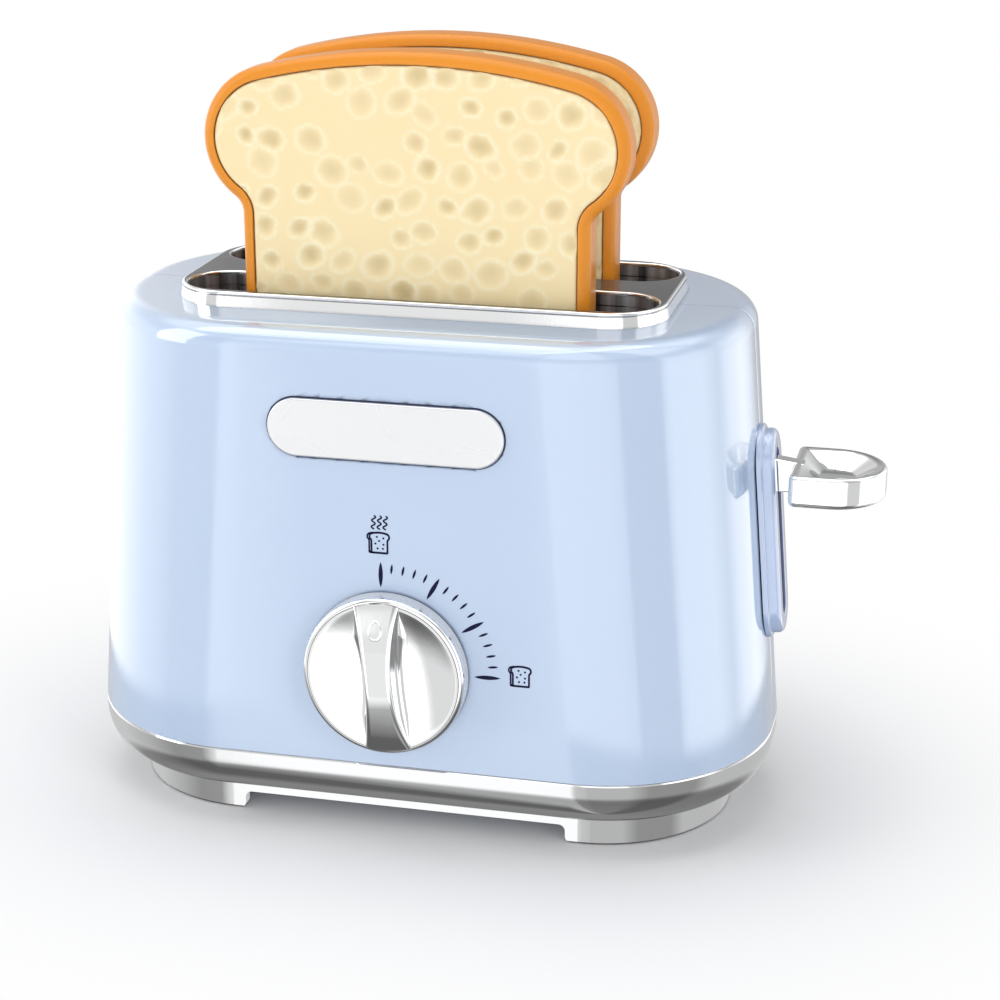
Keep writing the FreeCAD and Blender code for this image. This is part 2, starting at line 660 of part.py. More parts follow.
def foot_gap():
    """The low arch between the two feet, cut from front to back."""
    flare = FOOT_GAP_HALF + FOOT_GAP_ROUND
    below = -FOOT_GAP_ROUND
    r = FOOT_GAP_ROUND
    corners = []
    for side in (1, -1):
        run = [
            (side * (flare + r), below, 0),
            (side * (flare + r), 0, 0),
            (side * FOOT_GAP_HALF, 0, r),
            (side * FOOT_GAP_HALF, FOOT_GAP_HEIGHT, r),
        ]
        corners += run if side > 0 else run[::-1]
    outline = rounded_outline(corners, on_xz(-HALF_DEPTH))
    return prism(outline, BACK * 2 * HALF_DEPTH)


def base_plinth():
    plinth = prism(base_outline(BAND_ROUND, 0), UP * BAND_BOTTOM)
    inner = BAND_ROUND + PLINTH_WALL
    plinth = plinth.cut(prism(base_outline(inner, 0), UP * LEDGE_BOTTOM))
    plinth = plinth.cut(prism(base_outline(inner + PLINTH_LEDGE, 0), UP * BAND_BOTTOM))
    return {"base_plinth": plinth.cut(foot_gap())}


def bottom_cover():
    rim_inset = BAND_ROUND + PLINTH_WALL + FIT_GAP
    rim = prism(base_outline(rim_inset, COVER_BOTTOM), UP * (LEDGE_BOTTOM - COVER_BOTTOM))
    raised = prism(base_outline(rim_inset + PLINTH_LEDGE, COVER_BOTTOM), UP * (LEDGE_TOP - COVER_BOTTOM))
    cover = rim.fuse(raised)
    for side in SHOW_SIDES:
        x = side * ROD_X
        cover = cover.fuse(rod_z(x, 0, LEDGE_BOTTOM, ROD_SOCKET_TOP, SLEEVE_RADIUS))
        cover = cover.cut(rod_z(x, 0, ROD_BOTTOM, ROD_SOCKET_TOP, ROD_RADIUS + FIT_GAP / 2))
        for end in SHOW_SIDES:
            y = end * BASE_SCREW_Y
            cover = cover.cut(rod_z(side * BASE_SCREW_X, y, COVER_BOTTOM, LEDGE_TOP, SCREW_RADIUS + FIT_GAP))
            cover = cover.cut(
                rod_z(side * BASE_SCREW_X, y, COVER_BOTTOM, BASE_SCREW_SEAT, SCREW_HEAD_RADIUS + FIT_GAP)
            )
    return {"bottom_cover": cover.removeSplitter()}


# Slices

def slice_outline(grow, place):
    """The outline of a slice of bread: arch, two ears, waist and straight sides."""
    arch_z = SLICE_TOP - CRUST - ARCH_RADIUS
    ear_x = EAR_HALF - EAR_RADIUS
    ear_z = arch_z + math.sqrt((ARCH_RADIUS - EAR_RADIUS) ** 2 - ear_x ** 2)
    waist_x = NECK_HALF + WAIST_RADIUS
    waist_z = ear_z - math.sqrt((EAR_RADIUS + WAIST_RADIUS) ** 2 - (waist_x - ear_x) ** 2)
    bottom = SLICE_BOTTOM + CRUST - grow
    arch_r, ear_r, waist_r = ARCH_RADIUS + grow, EAR_RADIUS + grow, WAIST_RADIUS - grow
    corner_r = SLICE_FOOT_CORNER + grow
    neck = NECK_HALF + grow
    lean = math.atan2(ear_x, ear_z - arch_z)
    drop = math.atan2(waist_z - ear_z, waist_x - ear_x)

    def at(cx, cz, r, angle):
        return (cx + r * math.cos(angle), cz + r * math.sin(angle))

    start_ear = math.pi / 2 - lean
    right = [
        (
            at(0, arch_z, arch_r, math.pi / 2),
            at(0, arch_z, arch_r, (math.pi / 2 + start_ear) / 2),
            at(0, arch_z, arch_r, start_ear),
        ),
        (
            at(ear_x, ear_z, ear_r, start_ear),
            at(ear_x, ear_z, ear_r, (start_ear + drop) / 2),
            at(ear_x, ear_z, ear_r, drop),
        ),
        (
            at(waist_x, waist_z, waist_r, drop + math.pi),
            at(waist_x, waist_z, waist_r, (drop + 2 * math.pi) / 2),
            at(waist_x, waist_z, waist_r, math.pi),
        ),
        ((neck, waist_z), (neck, bottom + corner_r)),
        (
            (neck, bottom + corner_r),
            at(neck - corner_r, bottom + corner_r, corner_r, -math.pi / 4),
            (neck - corner_r, bottom),
        ),
        ((neck - corner_r, bottom), (corner_r - neck, bottom)),
    ]
    left = [tuple((-x, z) for x, z in reversed(run)) for run in reversed(right[:-1])]
    edges = []
    for run in right + left:
        points = [place(x, z) for x, z in run]
        kind = Part.Arc if len(points) == 3 else Part.LineSegment
        edges.append(kind(*points).toShape())
    return Part.Wire(edges)


def slice_block(grow, y, front, back):
    return prism(slice_outline(grow, on_xz(y + front)), BACK * (back - front))


def slices():
    made = {}
    half = SLICE_THICKNESS / 2
    seat = half - CRUMB_THICKNESS
    for name, y in SLICE_CENTRES:
        crust = slice_block(CRUST, y, -half, half)
        crust = crust.makeFillet(CRUST_ROUND, edges_where(crust, lambda p: near(abs(p.y - y), half)))
        crust = crust.cut(slice_block(0, y, -half, -seat)).cut(slice_block(0, y, seat, half))
        made[f"{name}_slice_crust"] = crust.cut(slice_block(-CRUST_LEDGE, y, -half, half))
        for face, side in (("front", -1), ("back", 1)):
            low, high = sorted((side * seat, side * half))
            panel = slice_block(-CRUMB_GAP, y, low, high)
            outer = y + side * half
            panel = rounded(panel, CRUMB_EDGE, lambda p, outer=outer: near(p.y, outer))
            made[f"{name}_slice_crumb_{face}"] = panel
    return made


# Carriage and lever

def tray(y):
    half_x = NECK_HALF + CRUST + TRAY_SIDE_GAP
    half_y = SLICE_THICKNESS / 2 + TRAY_SIDE_GAP
    height = TRAY_FLOOR + TRAY_LIP
    outer = (half_x + TRAY_WALL, half_y + TRAY_WALL, 2 * TRAY_WALL)
    body = prism(rounded_rectangle(*outer, on_xy(TRAY_BOTTOM), (0, y)), UP * height)
    pocket = prism(rounded_rectangle(half_x, half_y, TRAY_WALL, on_xy(TRAY_TOP), (0, y)), UP * height)
    body = body.cut(pocket)
    window_half = half_x / 5
    for x in (-half_x / 2, half_x / 2):
        window = rounded_rectangle(window_half, half_y * 0.6, TRAY_WALL, on_xy(TRAY_BOTTOM), (x, y))
        body = body.cut(prism(window, UP * height))
    return body


def catch():
    """The finger under the front tray, with the nose that the latch hooks over."""
    back = -SLICE_PITCH / 2 - SLICE_THICKNESS / 2 - TRAY_SIDE_GAP
    inset = FOLLOWER_GAP / 2
    front, rear = CAM_FRONT + inset, CAM_BACK - inset
    right = CATCH_X + CATCH_THICKNESS
    arm = block((CATCH_X - CATCH_THICKNESS, right + CATCH_THICKNESS), (front, back), (TRAY_BOTTOM, TRAY_TOP))
    nose_low = CATCH_NOSE_TOP - CATCH_NOSE_HEIGHT
    corners = [
        (CATCH_X, TRAY_TOP, 0),
        (CATCH_X, nose_low, 0),
        (right, nose_low, 0),
        (right + CATCH_NOSE, CATCH_NOSE_TOP - 1, 0),
        (right + CATCH_NOSE, CATCH_NOSE_TOP, 0),
        (right, CATCH_NOSE_TOP, 0),
        (right, TRAY_TOP, 0),
    ]
    return arm.fuse(prism(rounded_outline(corners, on_xz(front)), BACK * (rear - front)))


def carriage_frame():
    parts = [tray(y) for _, y in SLICE_CENTRES]
    spine_low = TRAY_TOP - SPINE_HEIGHT
    parts.append(block((-ROD_X, ROD_X), (-SPINE_HALF, SPINE_HALF), (spine_low, TRAY_TOP)))
    half_gap = SLICE_PITCH / 2 - SLICE_THICKNESS / 2
    for x in (-NECK_HALF, 0, NECK_HALF):
        parts.append(block((x - SPINE_HALF, x + SPINE_HALF), (-half_gap, half_gap), (TRAY_BOTTOM, TRAY_TOP)))
    for side in SHOW_SIDES:
        parts.append(rod_z(side * ROD_X, 0, SLEEVE_BOTTOM, SLEEVE_TOP, SLEEVE_RADIUS))
    arm_front = STEM_THICKNESS / 2
    arm_x = (ROD_X, LEVER_SCREW_X + SCREW_HEAD_RADIUS)
    parts.append(block(arm_x, (arm_front, arm_front + CATCH_THICKNESS), (STEM_BOTTOM + WALL / 2, STEM_TOP)))
    parts.append(catch())
    frame = parts[0].fuse(parts[1:])
    for side in SHOW_SIDES:
        frame = frame.cut(rod_z(side * ROD_X, 0, SLEEVE_BOTTOM, SLEEVE_TOP, ROD_RADIUS + ROD_CLEARANCE))
    hole_back = arm_front + CATCH_THICKNESS
    frame = frame.cut(rod_y(LEVER_SCREW_X, STEM_Z, arm_front, hole_back, SCREW_RADIUS + FIT_GAP / 2))
    return {"carriage_frame": frame.removeSplitter()}


def paddle_outline(rim, z):
    arc_x = PADDLE_END - PADDLE_HALF_Y
    half = PADDLE_HALF_Y - rim
    start = PADDLE_START + rim
    place = on_xy(z)
    points = [(start, half), (arc_x, half), (PADDLE_END - rim, 0), (arc_x, -half), (start, -half)]
    a, b, c, d, e = (place(*p) for p in points)
    edges = [Part.LineSegment(a, b), Part.Arc(b, c, d), Part.LineSegment(d, e), Part.LineSegment(e, a)]
    return Part.Wire([edge.toShape() for edge in edges])


def lever():
    paddle = prism(paddle_outline(0, PADDLE_BOTTOM), UP * (PADDLE_TOP - PADDLE_BOTTOM))
    paddle = paddle.makeFillet(PADDLE_EDGE, paddle.Edges)
    floor = PADDLE_TOP - DISH_DEPTH
    dish_wires = [paddle_outline(DISH_RIM, PADDLE_TOP), paddle_outline(DISH_RIM + DISH_SLOPE, floor)]
    dish = Part.makeLoft(dish_wires, True, True)
    corners = [
        (STEM_INNER_END, STEM_BOTTOM + WALL / 2, 0.5),
        (PADDLE_START + PADDLE_EDGE, STEM_BOTTOM, 0.5),
        (PADDLE_START + 2 * PADDLE_EDGE, PADDLE_BOTTOM + PADDLE_EDGE, 0.5),
        (PADDLE_START + 2 * PADDLE_EDGE, PADDLE_TOP - PADDLE_EDGE, 0.5),
        (PADDLE_START - PADDLE_EDGE, STEM_TOP - PADDLE_EDGE / 2, 0.5),
        (STEM_INNER_END, STEM_TOP, 0.5),
    ]
    stem = prism(rounded_outline(corners, on_xz(-STEM_THICKNESS / 2)), BACK * STEM_THICKNESS)
    whole = paddle.fuse(stem).cut(dish)
    hole = rod_y(LEVER_SCREW_X, STEM_Z, -STEM_THICKNESS, STEM_THICKNESS, SCREW_RADIUS + FIT_GAP / 2)
    return {"lever": whole.cut(hole).removeSplitter()}


def lever_screw():
    head = Vector(LEVER_SCREW_X, -STEM_THICKNESS / 2, STEM_Z)
    return {"lever_screw": screw(head, BACK, STEM_THICKNESS + CATCH_THICKNESS)}


def guide_rods():
    rods = [rod_z(side * ROD_X, 0, ROD_BOTTOM + FIT_GAP, ROD_TOP, ROD_RADIUS) for side in SHOW_SIDES]
    return {"guide_rods": Part.makeCompound(rods)}


def lift_spring():
    low = ROD_SOCKET_TOP + SPRING_WIRE / 2 + SPRING_SLACK / 2
    high = SLEEVE_BOTTOM - SPRING_WIRE / 2 - SPRING_SLACK / 2
    radius = SLEEVE_RADIUS - SPRING_WIRE
    steps = SPRING_TURNS * 8
    points = []
    for i in range(steps + 1):
        turn = 2 * math.pi * i / 8
        share = i / steps
        points.append(
            Vector(ROD_X + radius * math.cos(turn), radius * math.sin(turn), low + (high - low) * share)
        )
    print(f"lift_spring: least gap between its turns {least_gap(points, 8, SPRING_WIRE):.2f} mm")
    return {"lift_spring": wound(None, points, None, SPRING_WIRE)}


# Dial, cam and latch

def knob():
    axis = (0, DIAL_Z)
    disc = rod_y(*axis, KNOB_DISC_FRONT, KNOB_BACK, KNOB_RADIUS)
    disc = rounded(disc, KNOB_RIM_ROUND, lambda p: near(p.y, KNOB_DISC_FRONT))
    dish_radius = KNOB_RADIUS - KNOB_RIM
    ball_radius = (dish_radius ** 2 + KNOB_DISH_DEPTH ** 2) / (2 * KNOB_DISH_DEPTH)
    ball_y = KNOB_DISC_FRONT + KNOB_DISH_DEPTH - ball_radius
    disc = disc.cut(Part.makeSphere(ball_radius, Vector(0, ball_y, DIAL_Z)))
    grip_radius = KNOB_RADIUS - GRIP_INSET
    depth = KNOB_BACK - KNOB_FRONT - KNOB_DISH_DEPTH
    bar = rod_y(*axis, KNOB_FRONT, KNOB_FRONT + depth, grip_radius)
    bow = KNOB_DISC_FRONT - KNOB_FRONT
    bow_radius = (grip_radius ** 2 + bow ** 2) / (2 * bow)
    bow_y = KNOB_FRONT + bow_radius
    bow_start = Vector(-grip_radius, bow_y, DIAL_Z)
    bar = bar.common(Part.makeCylinder(bow_radius, 2 * grip_radius, bow_start, RIGHT))
    rise = GRIP_END_HALF - GRIP_WAIST_HALF
    bite = (grip_radius ** 2 + rise ** 2) / (2 * rise)
    for side in SHOW_SIDES:
        x = side * (GRIP_WAIST_HALF + bite)
        bar = bar.cut(rod_y(x, DIAL_Z, KNOB_FRONT, KNOB_FRONT + depth, bite))
    on_bow = [
        e for e in bar.Edges
        if all(near(math.hypot(v.Point.y - bow_y, v.Point.z - DIAL_Z), bow_radius) for v in e.Vertexes)
    ]
    bar = bar.makeFillet(GRIP_EDGE, on_bow)
    bar.rotate(Vector(0, 0, DIAL_Z), BACK, -GRIP_TILT)
    whole = disc.fuse(bar)
    pocket_front = KNOB_DISC_FRONT + KNOB_DISH_DEPTH + WALL / 2
    pocket = rod_y(*axis, pocket_front, KNOB_BACK, KNOB_RADIUS - WALL)
    hub = rod_y(*axis, pocket_front, KNOB_BACK, SPINDLE_RADIUS + WALL)
    whole = whole.cut(pocket.cut(hub))
    clearance = FIT_GAP / 2
    socket_front = KNOB_BACK - KNOB_SOCKET_DEPTH - clearance
    socket = d_section(socket_front, KNOB_BACK, SPINDLE_TIP_RADIUS + clearance, SPINDLE_TIP_FLAT + clearance)
    shoulder_front = KNOB_BACK - SPINDLE_SHOULDER - clearance
    mouth = d_section(shoulder_front, KNOB_BACK, SPINDLE_RADIUS + clearance, SPINDLE_FLAT + clearance)
    return {"knob": whole.cut(socket.fuse(mouth))}


def knob_spindle():
    shoulder = KNOB_BACK - SPINDLE_SHOULDER
    tip = d_section(KNOB_BACK - KNOB_SOCKET_DEPTH, shoulder, SPINDLE_TIP_RADIUS, SPINDLE_TIP_FLAT)
    shaft = d_section(shoulder, FRAME_FRONT - FIT_GAP, SPINDLE_RADIUS, SPINDLE_FLAT)
    journal = rod_y(0, DIAL_Z, FRAME_FRONT - FIT_GAP, FRAME_BACK + FIT_GAP, JOURNAL_RADIUS)
    bore_front = FRAME_BACK - BASE_SCREW_LENGTH / 2
    bore = rod_y(0, DIAL_Z, bore_front, FRAME_BACK + FIT_GAP, SCREW_RADIUS + FIT_GAP / 2)
    return {"knob_spindle": tip.fuse(shaft).fuse(journal).cut(bore).removeSplitter()}


def spindle_screw():
    head = Vector(0, FRAME_BACK + 2 * FIT_GAP, DIAL_Z)
    washer = rod_y(0, DIAL_Z, head.y, head.y + SCREW_HEAD_HEIGHT / 2, SCREW_HEAD_RADIUS + 1)
    bolt = screw(head + BACK * SCREW_HEAD_HEIGHT / 2, -BACK, BASE_SCREW_LENGTH / 2)
    return {"spindle_screw": washer.fuse(bolt).removeSplitter()}


def click_wheel():
    """A fine-toothed wheel on the spindle, one tooth for each six degrees."""
    crest, root = CLICK_RADIUS, CLICK_RADIUS - CLICK_TOOTH
    points = []
    for i in range(CLICK_TEETH):
        for share, radius in ((0.0, crest), (0.5, root)):
            turn = 2 * math.pi * (i + share) / CLICK_TEETH
            points.append(Vector(radius * math.cos(turn), CLICK_FRONT, DIAL_Z + radius * math.sin(turn)))
    wheel = prism(Part.makePolygon(points + points[:1]), BACK * (CLICK_BACK - CLICK_FRONT))
    hole = d_section(CLICK_FRONT, CLICK_BACK, SPINDLE_RADIUS + FIT_GAP / 2, SPINDLE_FLAT + FIT_GAP / 2)
    return {"click_wheel": wheel.cut(hole)}


def leaf_places():
    face = -(CLICK_RADIUS + LEAF_GAP + LEAF_BEND)
    return face - LEAF_THICKNESS, face


def leaf_post():
    outer, inner = leaf_places()
    low, high = DIAL_Z - LEAF_REACH, DIAL_Z - LEAF_REACH + LEAF_CLAMP
    return block((outer - WALL, inner + WALL), (FRONT_FACE, CLICK_BACK), (low, high))


def leaf_slot():
    outer, inner = leaf_places()
    gap = FIT_GAP / 2
    low, high = DIAL_Z - LEAF_REACH, DIAL_Z - LEAF_REACH + LEAF_CLAMP
    return block((outer - gap, inner + gap), (CLICK_FRONT - gap, CLICK_BACK), (low - WALL, high + WALL))


def click_spring():
    outer, inner = leaf_places()
    tip = inner + LEAF_BEND
    corners = [
        (outer, DIAL_Z - LEAF_REACH, 0),
        (inner, DIAL_Z - LEAF_REACH, 0),
        (inner, DIAL_Z - LEAF_BEND, 0.3),
        (tip, DIAL_Z, 0.2),
        (inner, DIAL_Z + LEAF_BEND, 0.3),
        (inner, DIAL_Z + 2 * LEAF_BEND, 0),
        (outer, DIAL_Z + 2 * LEAF_BEND, 0),
        (outer, DIAL_Z + LEAF_BEND, 0.3),
        (tip - LEAF_THICKNESS * 1.6, DIAL_Z, 0.2),
        (outer, DIAL_Z - LEAF_BEND, 0.3),
    ]
    leaf = prism(rounded_outline(corners, on_xz(CLICK_FRONT)), BACK * (CLICK_BACK - CLICK_FRONT))
    return {"click_spring": leaf}


def turned(x, z, degrees):
    """A point of the latch, from the hooked pose to one turned clockwise by degrees."""
    angle = math.radians(degrees)
    dx, dz = x - LATCH_X, z - LATCH_Z
    return (
        LATCH_X + dx * math.cos(angle) + dz * math.sin(angle),
        LATCH_Z - dx * math.sin(angle) + dz * math.cos(angle),
    )


def follower_at(latch_turn):
    """Where the follower's round end is, with the latch turned back from rest by latch_turn."""
    rest_x = CAM_RADIUS + FOLLOWER_RADIUS + FOLLOWER_GAP
    return turned(rest_x, DIAL_Z, -latch_turn)


def release_cam():
    """A spiral face that lets the follower in steadily as the dial turns."""
    rise = []
    steps = 9
    for i in range(steps + 1):
        share = i / steps
        x, z = follower_at(LATCH_SWEEP * share)
        distance = math.hypot(x, z - DIAL_Z)
        angle = math.atan2(z - DIAL_Z, x) + math.radians(DIAL_SWEEP * share)
        radius = distance - FOLLOWER_RADIUS - FOLLOWER_GAP
        rise.append(Vector(radius * math.cos(angle), CAM_FRONT, DIAL_Z + radius * math.sin(angle)))
    spiral = Part.BSplineCurve()
    spiral.interpolate(rise)

    def at(radius, degrees):
        angle = math.radians(degrees)
        return Vector(radius * math.cos(angle), CAM_FRONT, DIAL_Z + radius * math.sin(angle))

    dwell = Part.Arc(at(CAM_RADIUS, -36), at(CAM_RADIUS, -18), rise[0])
    drop = Part.LineSegment(rise[-1], at(CAM_HEEL_RADIUS, 120))
    heel = Part.Arc(at(CAM_HEEL_RADIUS, 120), at(CAM_HEEL_RADIUS, 200), at(CAM_HEEL_RADIUS, 280))
    lead = Part.LineSegment(at(CAM_HEEL_RADIUS, 280), at(CAM_RADIUS, -36))
    outline = Part.Wire([c.toShape() for c in (dwell, spiral, drop, heel, lead)])
    cam = prism(outline, BACK * (CAM_BACK - CAM_FRONT))
    hole = d_section(CAM_FRONT, CAM_BACK, SPINDLE_RADIUS + FIT_GAP / 2, SPINDLE_FLAT + FIT_GAP / 2)
    return {"release_cam": cam.cut(hole)}


def latch_hook():
    """Drawn hooked over the catch with the carriage down, then turned back to its rest pose."""
    nose_top = CATCH_NOSE_TOP - TRAVEL
    nose_end = CATCH_X + CATCH_THICKNESS + CATCH_NOSE
    left, right = LATCH_X - LATCH_ARM_HALF, LATCH_X + LATCH_ARM_HALF
    tip = nose_end - HOOK_REACH
    underside = nose_top + HOOK_GAP
    top = underside + HOOK_HEIGHT
    corners = [
        (left, LATCH_Z, 0),
        (left, underside, 0.4),
        (tip, underside, 0.2),
        (tip, underside + HOOK_HEIGHT / 3, 0.2),
        (left, top, 1.0),
        (right, top, 1.0),
        (right, LATCH_Z, 0),
    ]
    thick = CAM_BACK - CAM_FRONT
    whole = prism(rounded_outline(corners, on_xz(CAM_FRONT)), BACK * thick)
    whole = whole.fuse(rod_y(LATCH_X, LATCH_Z, CAM_FRONT, CAM_BACK, LATCH_HUB_RADIUS))
    end_x, end_z = follower_at(LATCH_SWEEP)
    finger_z = (end_z - FOLLOWER_RADIUS, end_z + FOLLOWER_RADIUS)
    finger = block((end_x, LATCH_X), (CAM_FRONT, CAM_BACK), finger_z)
    whole = whole.fuse([finger, rod_y(end_x, end_z, CAM_FRONT, CAM_BACK, FOLLOWER_RADIUS)])
    peg_z = LATCH_Z + TORSION_LEG - 1
    whole = whole.fuse(rod_y(LATCH_X, peg_z, torsion_front(), CAM_FRONT, TORSION_WIRE * 2))
    whole = whole.cut(rod_y(LATCH_X, LATCH_Z, torsion_front(), CAM_BACK, LATCH_PIN_RADIUS + ROD_CLEARANCE))
    whole = whole.removeSplitter()
    whole.rotate(Vector(LATCH_X, 0, LATCH_Z), BACK, LATCH_SWEEP)
    return {"latch_hook": whole}


def latch_pin():
    front = FRONT_INNER + WALL / 2 + FIT_GAP
    return {"latch_pin": rod_y(LATCH_X, LATCH_Z, front, FRAME_BACK, LATCH_PIN_RADIUS)}


def torsion_front():
    return CAM_FRONT - 4 * TORSION_WIRE


def torsion_back():
    return CAM_FRONT - FIT_GAP


def torsion_stop_x():
    return LATCH_X - TORSION_STOP_REACH


def torsion_stop_z():
    return LATCH_Z - TORSION_RADIUS + TORSION_WIRE / 2 + TORSION_WIRE * 2 + FIT_GAP


def latch_spring():
    """Two turns and a bit round the pin, one leg under a stop peg and one behind the latch's peg."""
    lean = LATCH_SWEEP + 2.5
    first, last = -90.0, 360.0 * 2 - lean
    steps = 2 * 9
    points = []
    front = torsion_front() + TORSION_WIRE / 2
    back = torsion_back() - TORSION_WIRE / 2
    for i in range(steps + 1):
        share = i / steps
        angle = math.radians(first + (last - first) * share)
        points.append(
            Vector(
                LATCH_X + TORSION_RADIUS * math.cos(angle),
                back + (front - back) * share,
                LATCH_Z + TORSION_RADIUS * math.sin(angle),
            )
        )
    start = points[0] - RIGHT * (LATCH_X - torsion_stop_x() + 1)
    angle = math.radians(last)
    up_leg = Vector(-math.sin(angle), 0, math.cos(angle)) * TORSION_LEG
    return {"latch_spring": wound(start, points, points[-1] + up_leg, TORSION_WIRE)}


def release_frame():
    """The plate that carries the inner ends of the spindle and the latch pin."""
    margin = TOP_BOSS_RADIUS + 1.4
    left = min(x for x, _ in FRAME_POSTS) - margin
    right = max(x for x, _ in FRAME_POSTS) + margin
    low = min(LATCH_Z, min(z for _, z in FRAME_POSTS)) - margin
    high = max(z for _, z in FRAME_POSTS) + margin
    step_x = CATCH_X - 2 * CATCH_THICKNESS
    step_z = CATCH_NOSE_TOP - CATCH_NOSE_HEIGHT - TRAVEL - WALL
    right_top = FRAME_POSTS[2][1] + margin + FRAME_CORNER
    corners = [
        (left, low, FRAME_CORNER),
        (right, low, FRAME_CORNER),
        (right, right_top, FRAME_CORNER),
        (LATCH_X + LATCH_HUB_RADIUS + 2, step_z, FRAME_CORNER),
        (step_x, step_z, 2),
        (step_x - 1, high, 2),
        (left, high, FRAME_CORNER),
    ]
    plate = prism(rounded_outline(corners, on_xz(FRAME_FRONT)), BACK * FRAME_THICKNESS)
    for x, z in FRAME_POSTS:
        plate = plate.cut(rod_y(x, z, FRAME_FRONT, FRAME_BACK, SCREW_RADIUS + FIT_GAP / 2))
    plate = plate.cut(rod_y(0, DIAL_Z, FRAME_FRONT, FRAME_BACK, JOURNAL_RADIUS + ROD_CLEARANCE))
    plate = plate.cut(rod_y(LATCH_X, LATCH_Z, FRAME_FRONT, FRAME_BACK, LATCH_PIN_RADIUS + FIT_GAP / 4))
    return {"release_frame": plate}


# Fasteners

def screws():
    shell = []
    base = []
    for side in SHOW_SIDES:
        for x, z in SHELL_SCREWS:
            shell.append(screw(Vector(side * x, SHELL_SCREW_SEAT, z), -BACK, SHELL_SCREW_LENGTH))
        for end in SHOW_SIDES:
            head = Vector(side * BASE_SCREW_X, end * BASE_SCREW_Y, BASE_SCREW_SEAT)
            base.append(screw(head, UP, BASE_SCREW_LENGTH))
    frame = [screw(Vector(x, FRAME_BACK, z), -BACK, FRAME_SCREW_LENGTH) for x, z in FRAME_POSTS]
    return {
        "shell_screws": Part.makeCompound(shell),
        "base_screws": Part.makeCompound(base),
        "frame_screws": Part.makeCompound(frame),
    }


MAKERS = (
    casing_shells,
    top_collar,
    front_plate,
    slot_bezel,
    base_band,
    base_plinth,
    bottom_cover,
    slices,
    carriage_frame,
    lever,
    lever_screw,
    guide_rods,
    lift_spring,
    knob,
    knob_spindle,
    spindle_screw,
    click_wheel,
    click_spring,
    release_cam,
    latch_hook,
    latch_pin,
    latch_spring,
    release_frame,
    screws,
)


def main():
    os.makedirs("parts", exist_ok=True)
    for maker in MAKERS:
        for name, shape in maker().items():
            shape.translate(Vector(-ORIGIN_X, -ORIGIN_Y, 0))
            solids = shape.Solids
            if not solids or not all(s.isValid() for s in solids):
                print("NOT VALID", name, len(solids))
            print(f"{name}: {len(solids)} solid(s), {sum(s.Volume for s in solids):.1f} mm3")
            clean = solids[0] if len(solids) == 1 else Part.makeCompound(solids)
            clean.exportStep(os.path.join("parts", name + ".step"))


main()
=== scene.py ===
import json
import math
import random

import bmesh
import bpy
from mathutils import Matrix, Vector, geometry, noise


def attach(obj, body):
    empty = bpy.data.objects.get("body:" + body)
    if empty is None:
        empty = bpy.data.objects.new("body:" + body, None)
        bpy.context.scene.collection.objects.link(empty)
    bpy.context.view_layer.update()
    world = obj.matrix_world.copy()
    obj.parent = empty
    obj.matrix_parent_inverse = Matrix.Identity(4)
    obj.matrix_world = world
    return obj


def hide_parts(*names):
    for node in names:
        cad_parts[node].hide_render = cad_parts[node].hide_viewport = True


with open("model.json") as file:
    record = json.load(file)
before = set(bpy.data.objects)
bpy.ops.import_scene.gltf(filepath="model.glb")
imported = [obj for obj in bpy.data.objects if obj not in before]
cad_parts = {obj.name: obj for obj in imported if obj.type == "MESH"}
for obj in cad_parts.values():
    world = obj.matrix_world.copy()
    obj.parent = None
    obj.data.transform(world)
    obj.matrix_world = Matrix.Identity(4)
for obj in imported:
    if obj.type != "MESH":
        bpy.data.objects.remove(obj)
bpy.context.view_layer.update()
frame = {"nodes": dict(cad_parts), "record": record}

# Shapes are worked out in millimetres about the middle of the casing. They are moved to the
# frame's origin, and scaled to metres, when a mesh is made.
MM = 0.001
ORIGIN = Vector((9.5, -4.0, 0.0))

# Camera, fitted to the casing's edges in the photograph
CAMERA_AZIMUTH = 13.33
CAMERA_ELEVATION = 18.85
CAMERA_DISTANCE = 450.23
CAMERA_TARGET = Vector((12.43, 0.0, 57.32))
CAMERA_LENS = 83.845

# Casing
HALF_DEPTH = 36.0
HALF_WIDTH_BOTTOM = 67.0
HALF_WIDTH_TOP = 60.2
CORNER = 33.0
SHELL_BOTTOM = 16.0
SHELL_TOP = 98.2
SHOULDER = 4.0
WALL = 2.0
SEAM_HALF = 0.05
SEAM_ROUND = 0.22
TAPER = (HALF_WIDTH_BOTTOM - HALF_WIDTH_TOP) / (SHELL_TOP - SHELL_BOTTOM)
SCREW_WELLS = ((57.0, 24.0), (56.0, 80.0))
SCREW_SEAT = 12.0
SCREW_WELL_RADIUS = 2.6
SHELL_SLOT_GAP = 1.2

# Collar
COLLAR_HALF_X = 46.4
COLLAR_HALF_Y = 21.5
COLLAR_CORNER = 11.4
COLLAR_TOP = 101.0
COLLAR_EDGE = 0.40
COLLAR_LEAN = 0.34
SLOT_HALF_X = 44.5
SLOT_HALF_Y = 7.3
SLOT_CENTRE = 12.0
THROAT_WALL = 1.0
THROAT_BOTTOM = 90.0

# Base
BAND_BOTTOM = 6.0
BAND_ROUND = 8.0
BAND_WALL = 2.2
BAND_LIP = 3.0
PLINTH_WALL = 2.2
FOOT_GAP_HALF = 31.6
FOOT_GAP_HEIGHT = 3.6
FOOT_GAP_ROUND = 1.3

# Front plate
PLATE_HALF_X = 21.75
PLATE_HALF_Z = 5.4
PLATE_Z = 80.9
PLATE_PROUD = 0.8
PLATE_SUNK = 0.5
PLATE_GAP = 0.3
PLATE_EDGE = 0.4

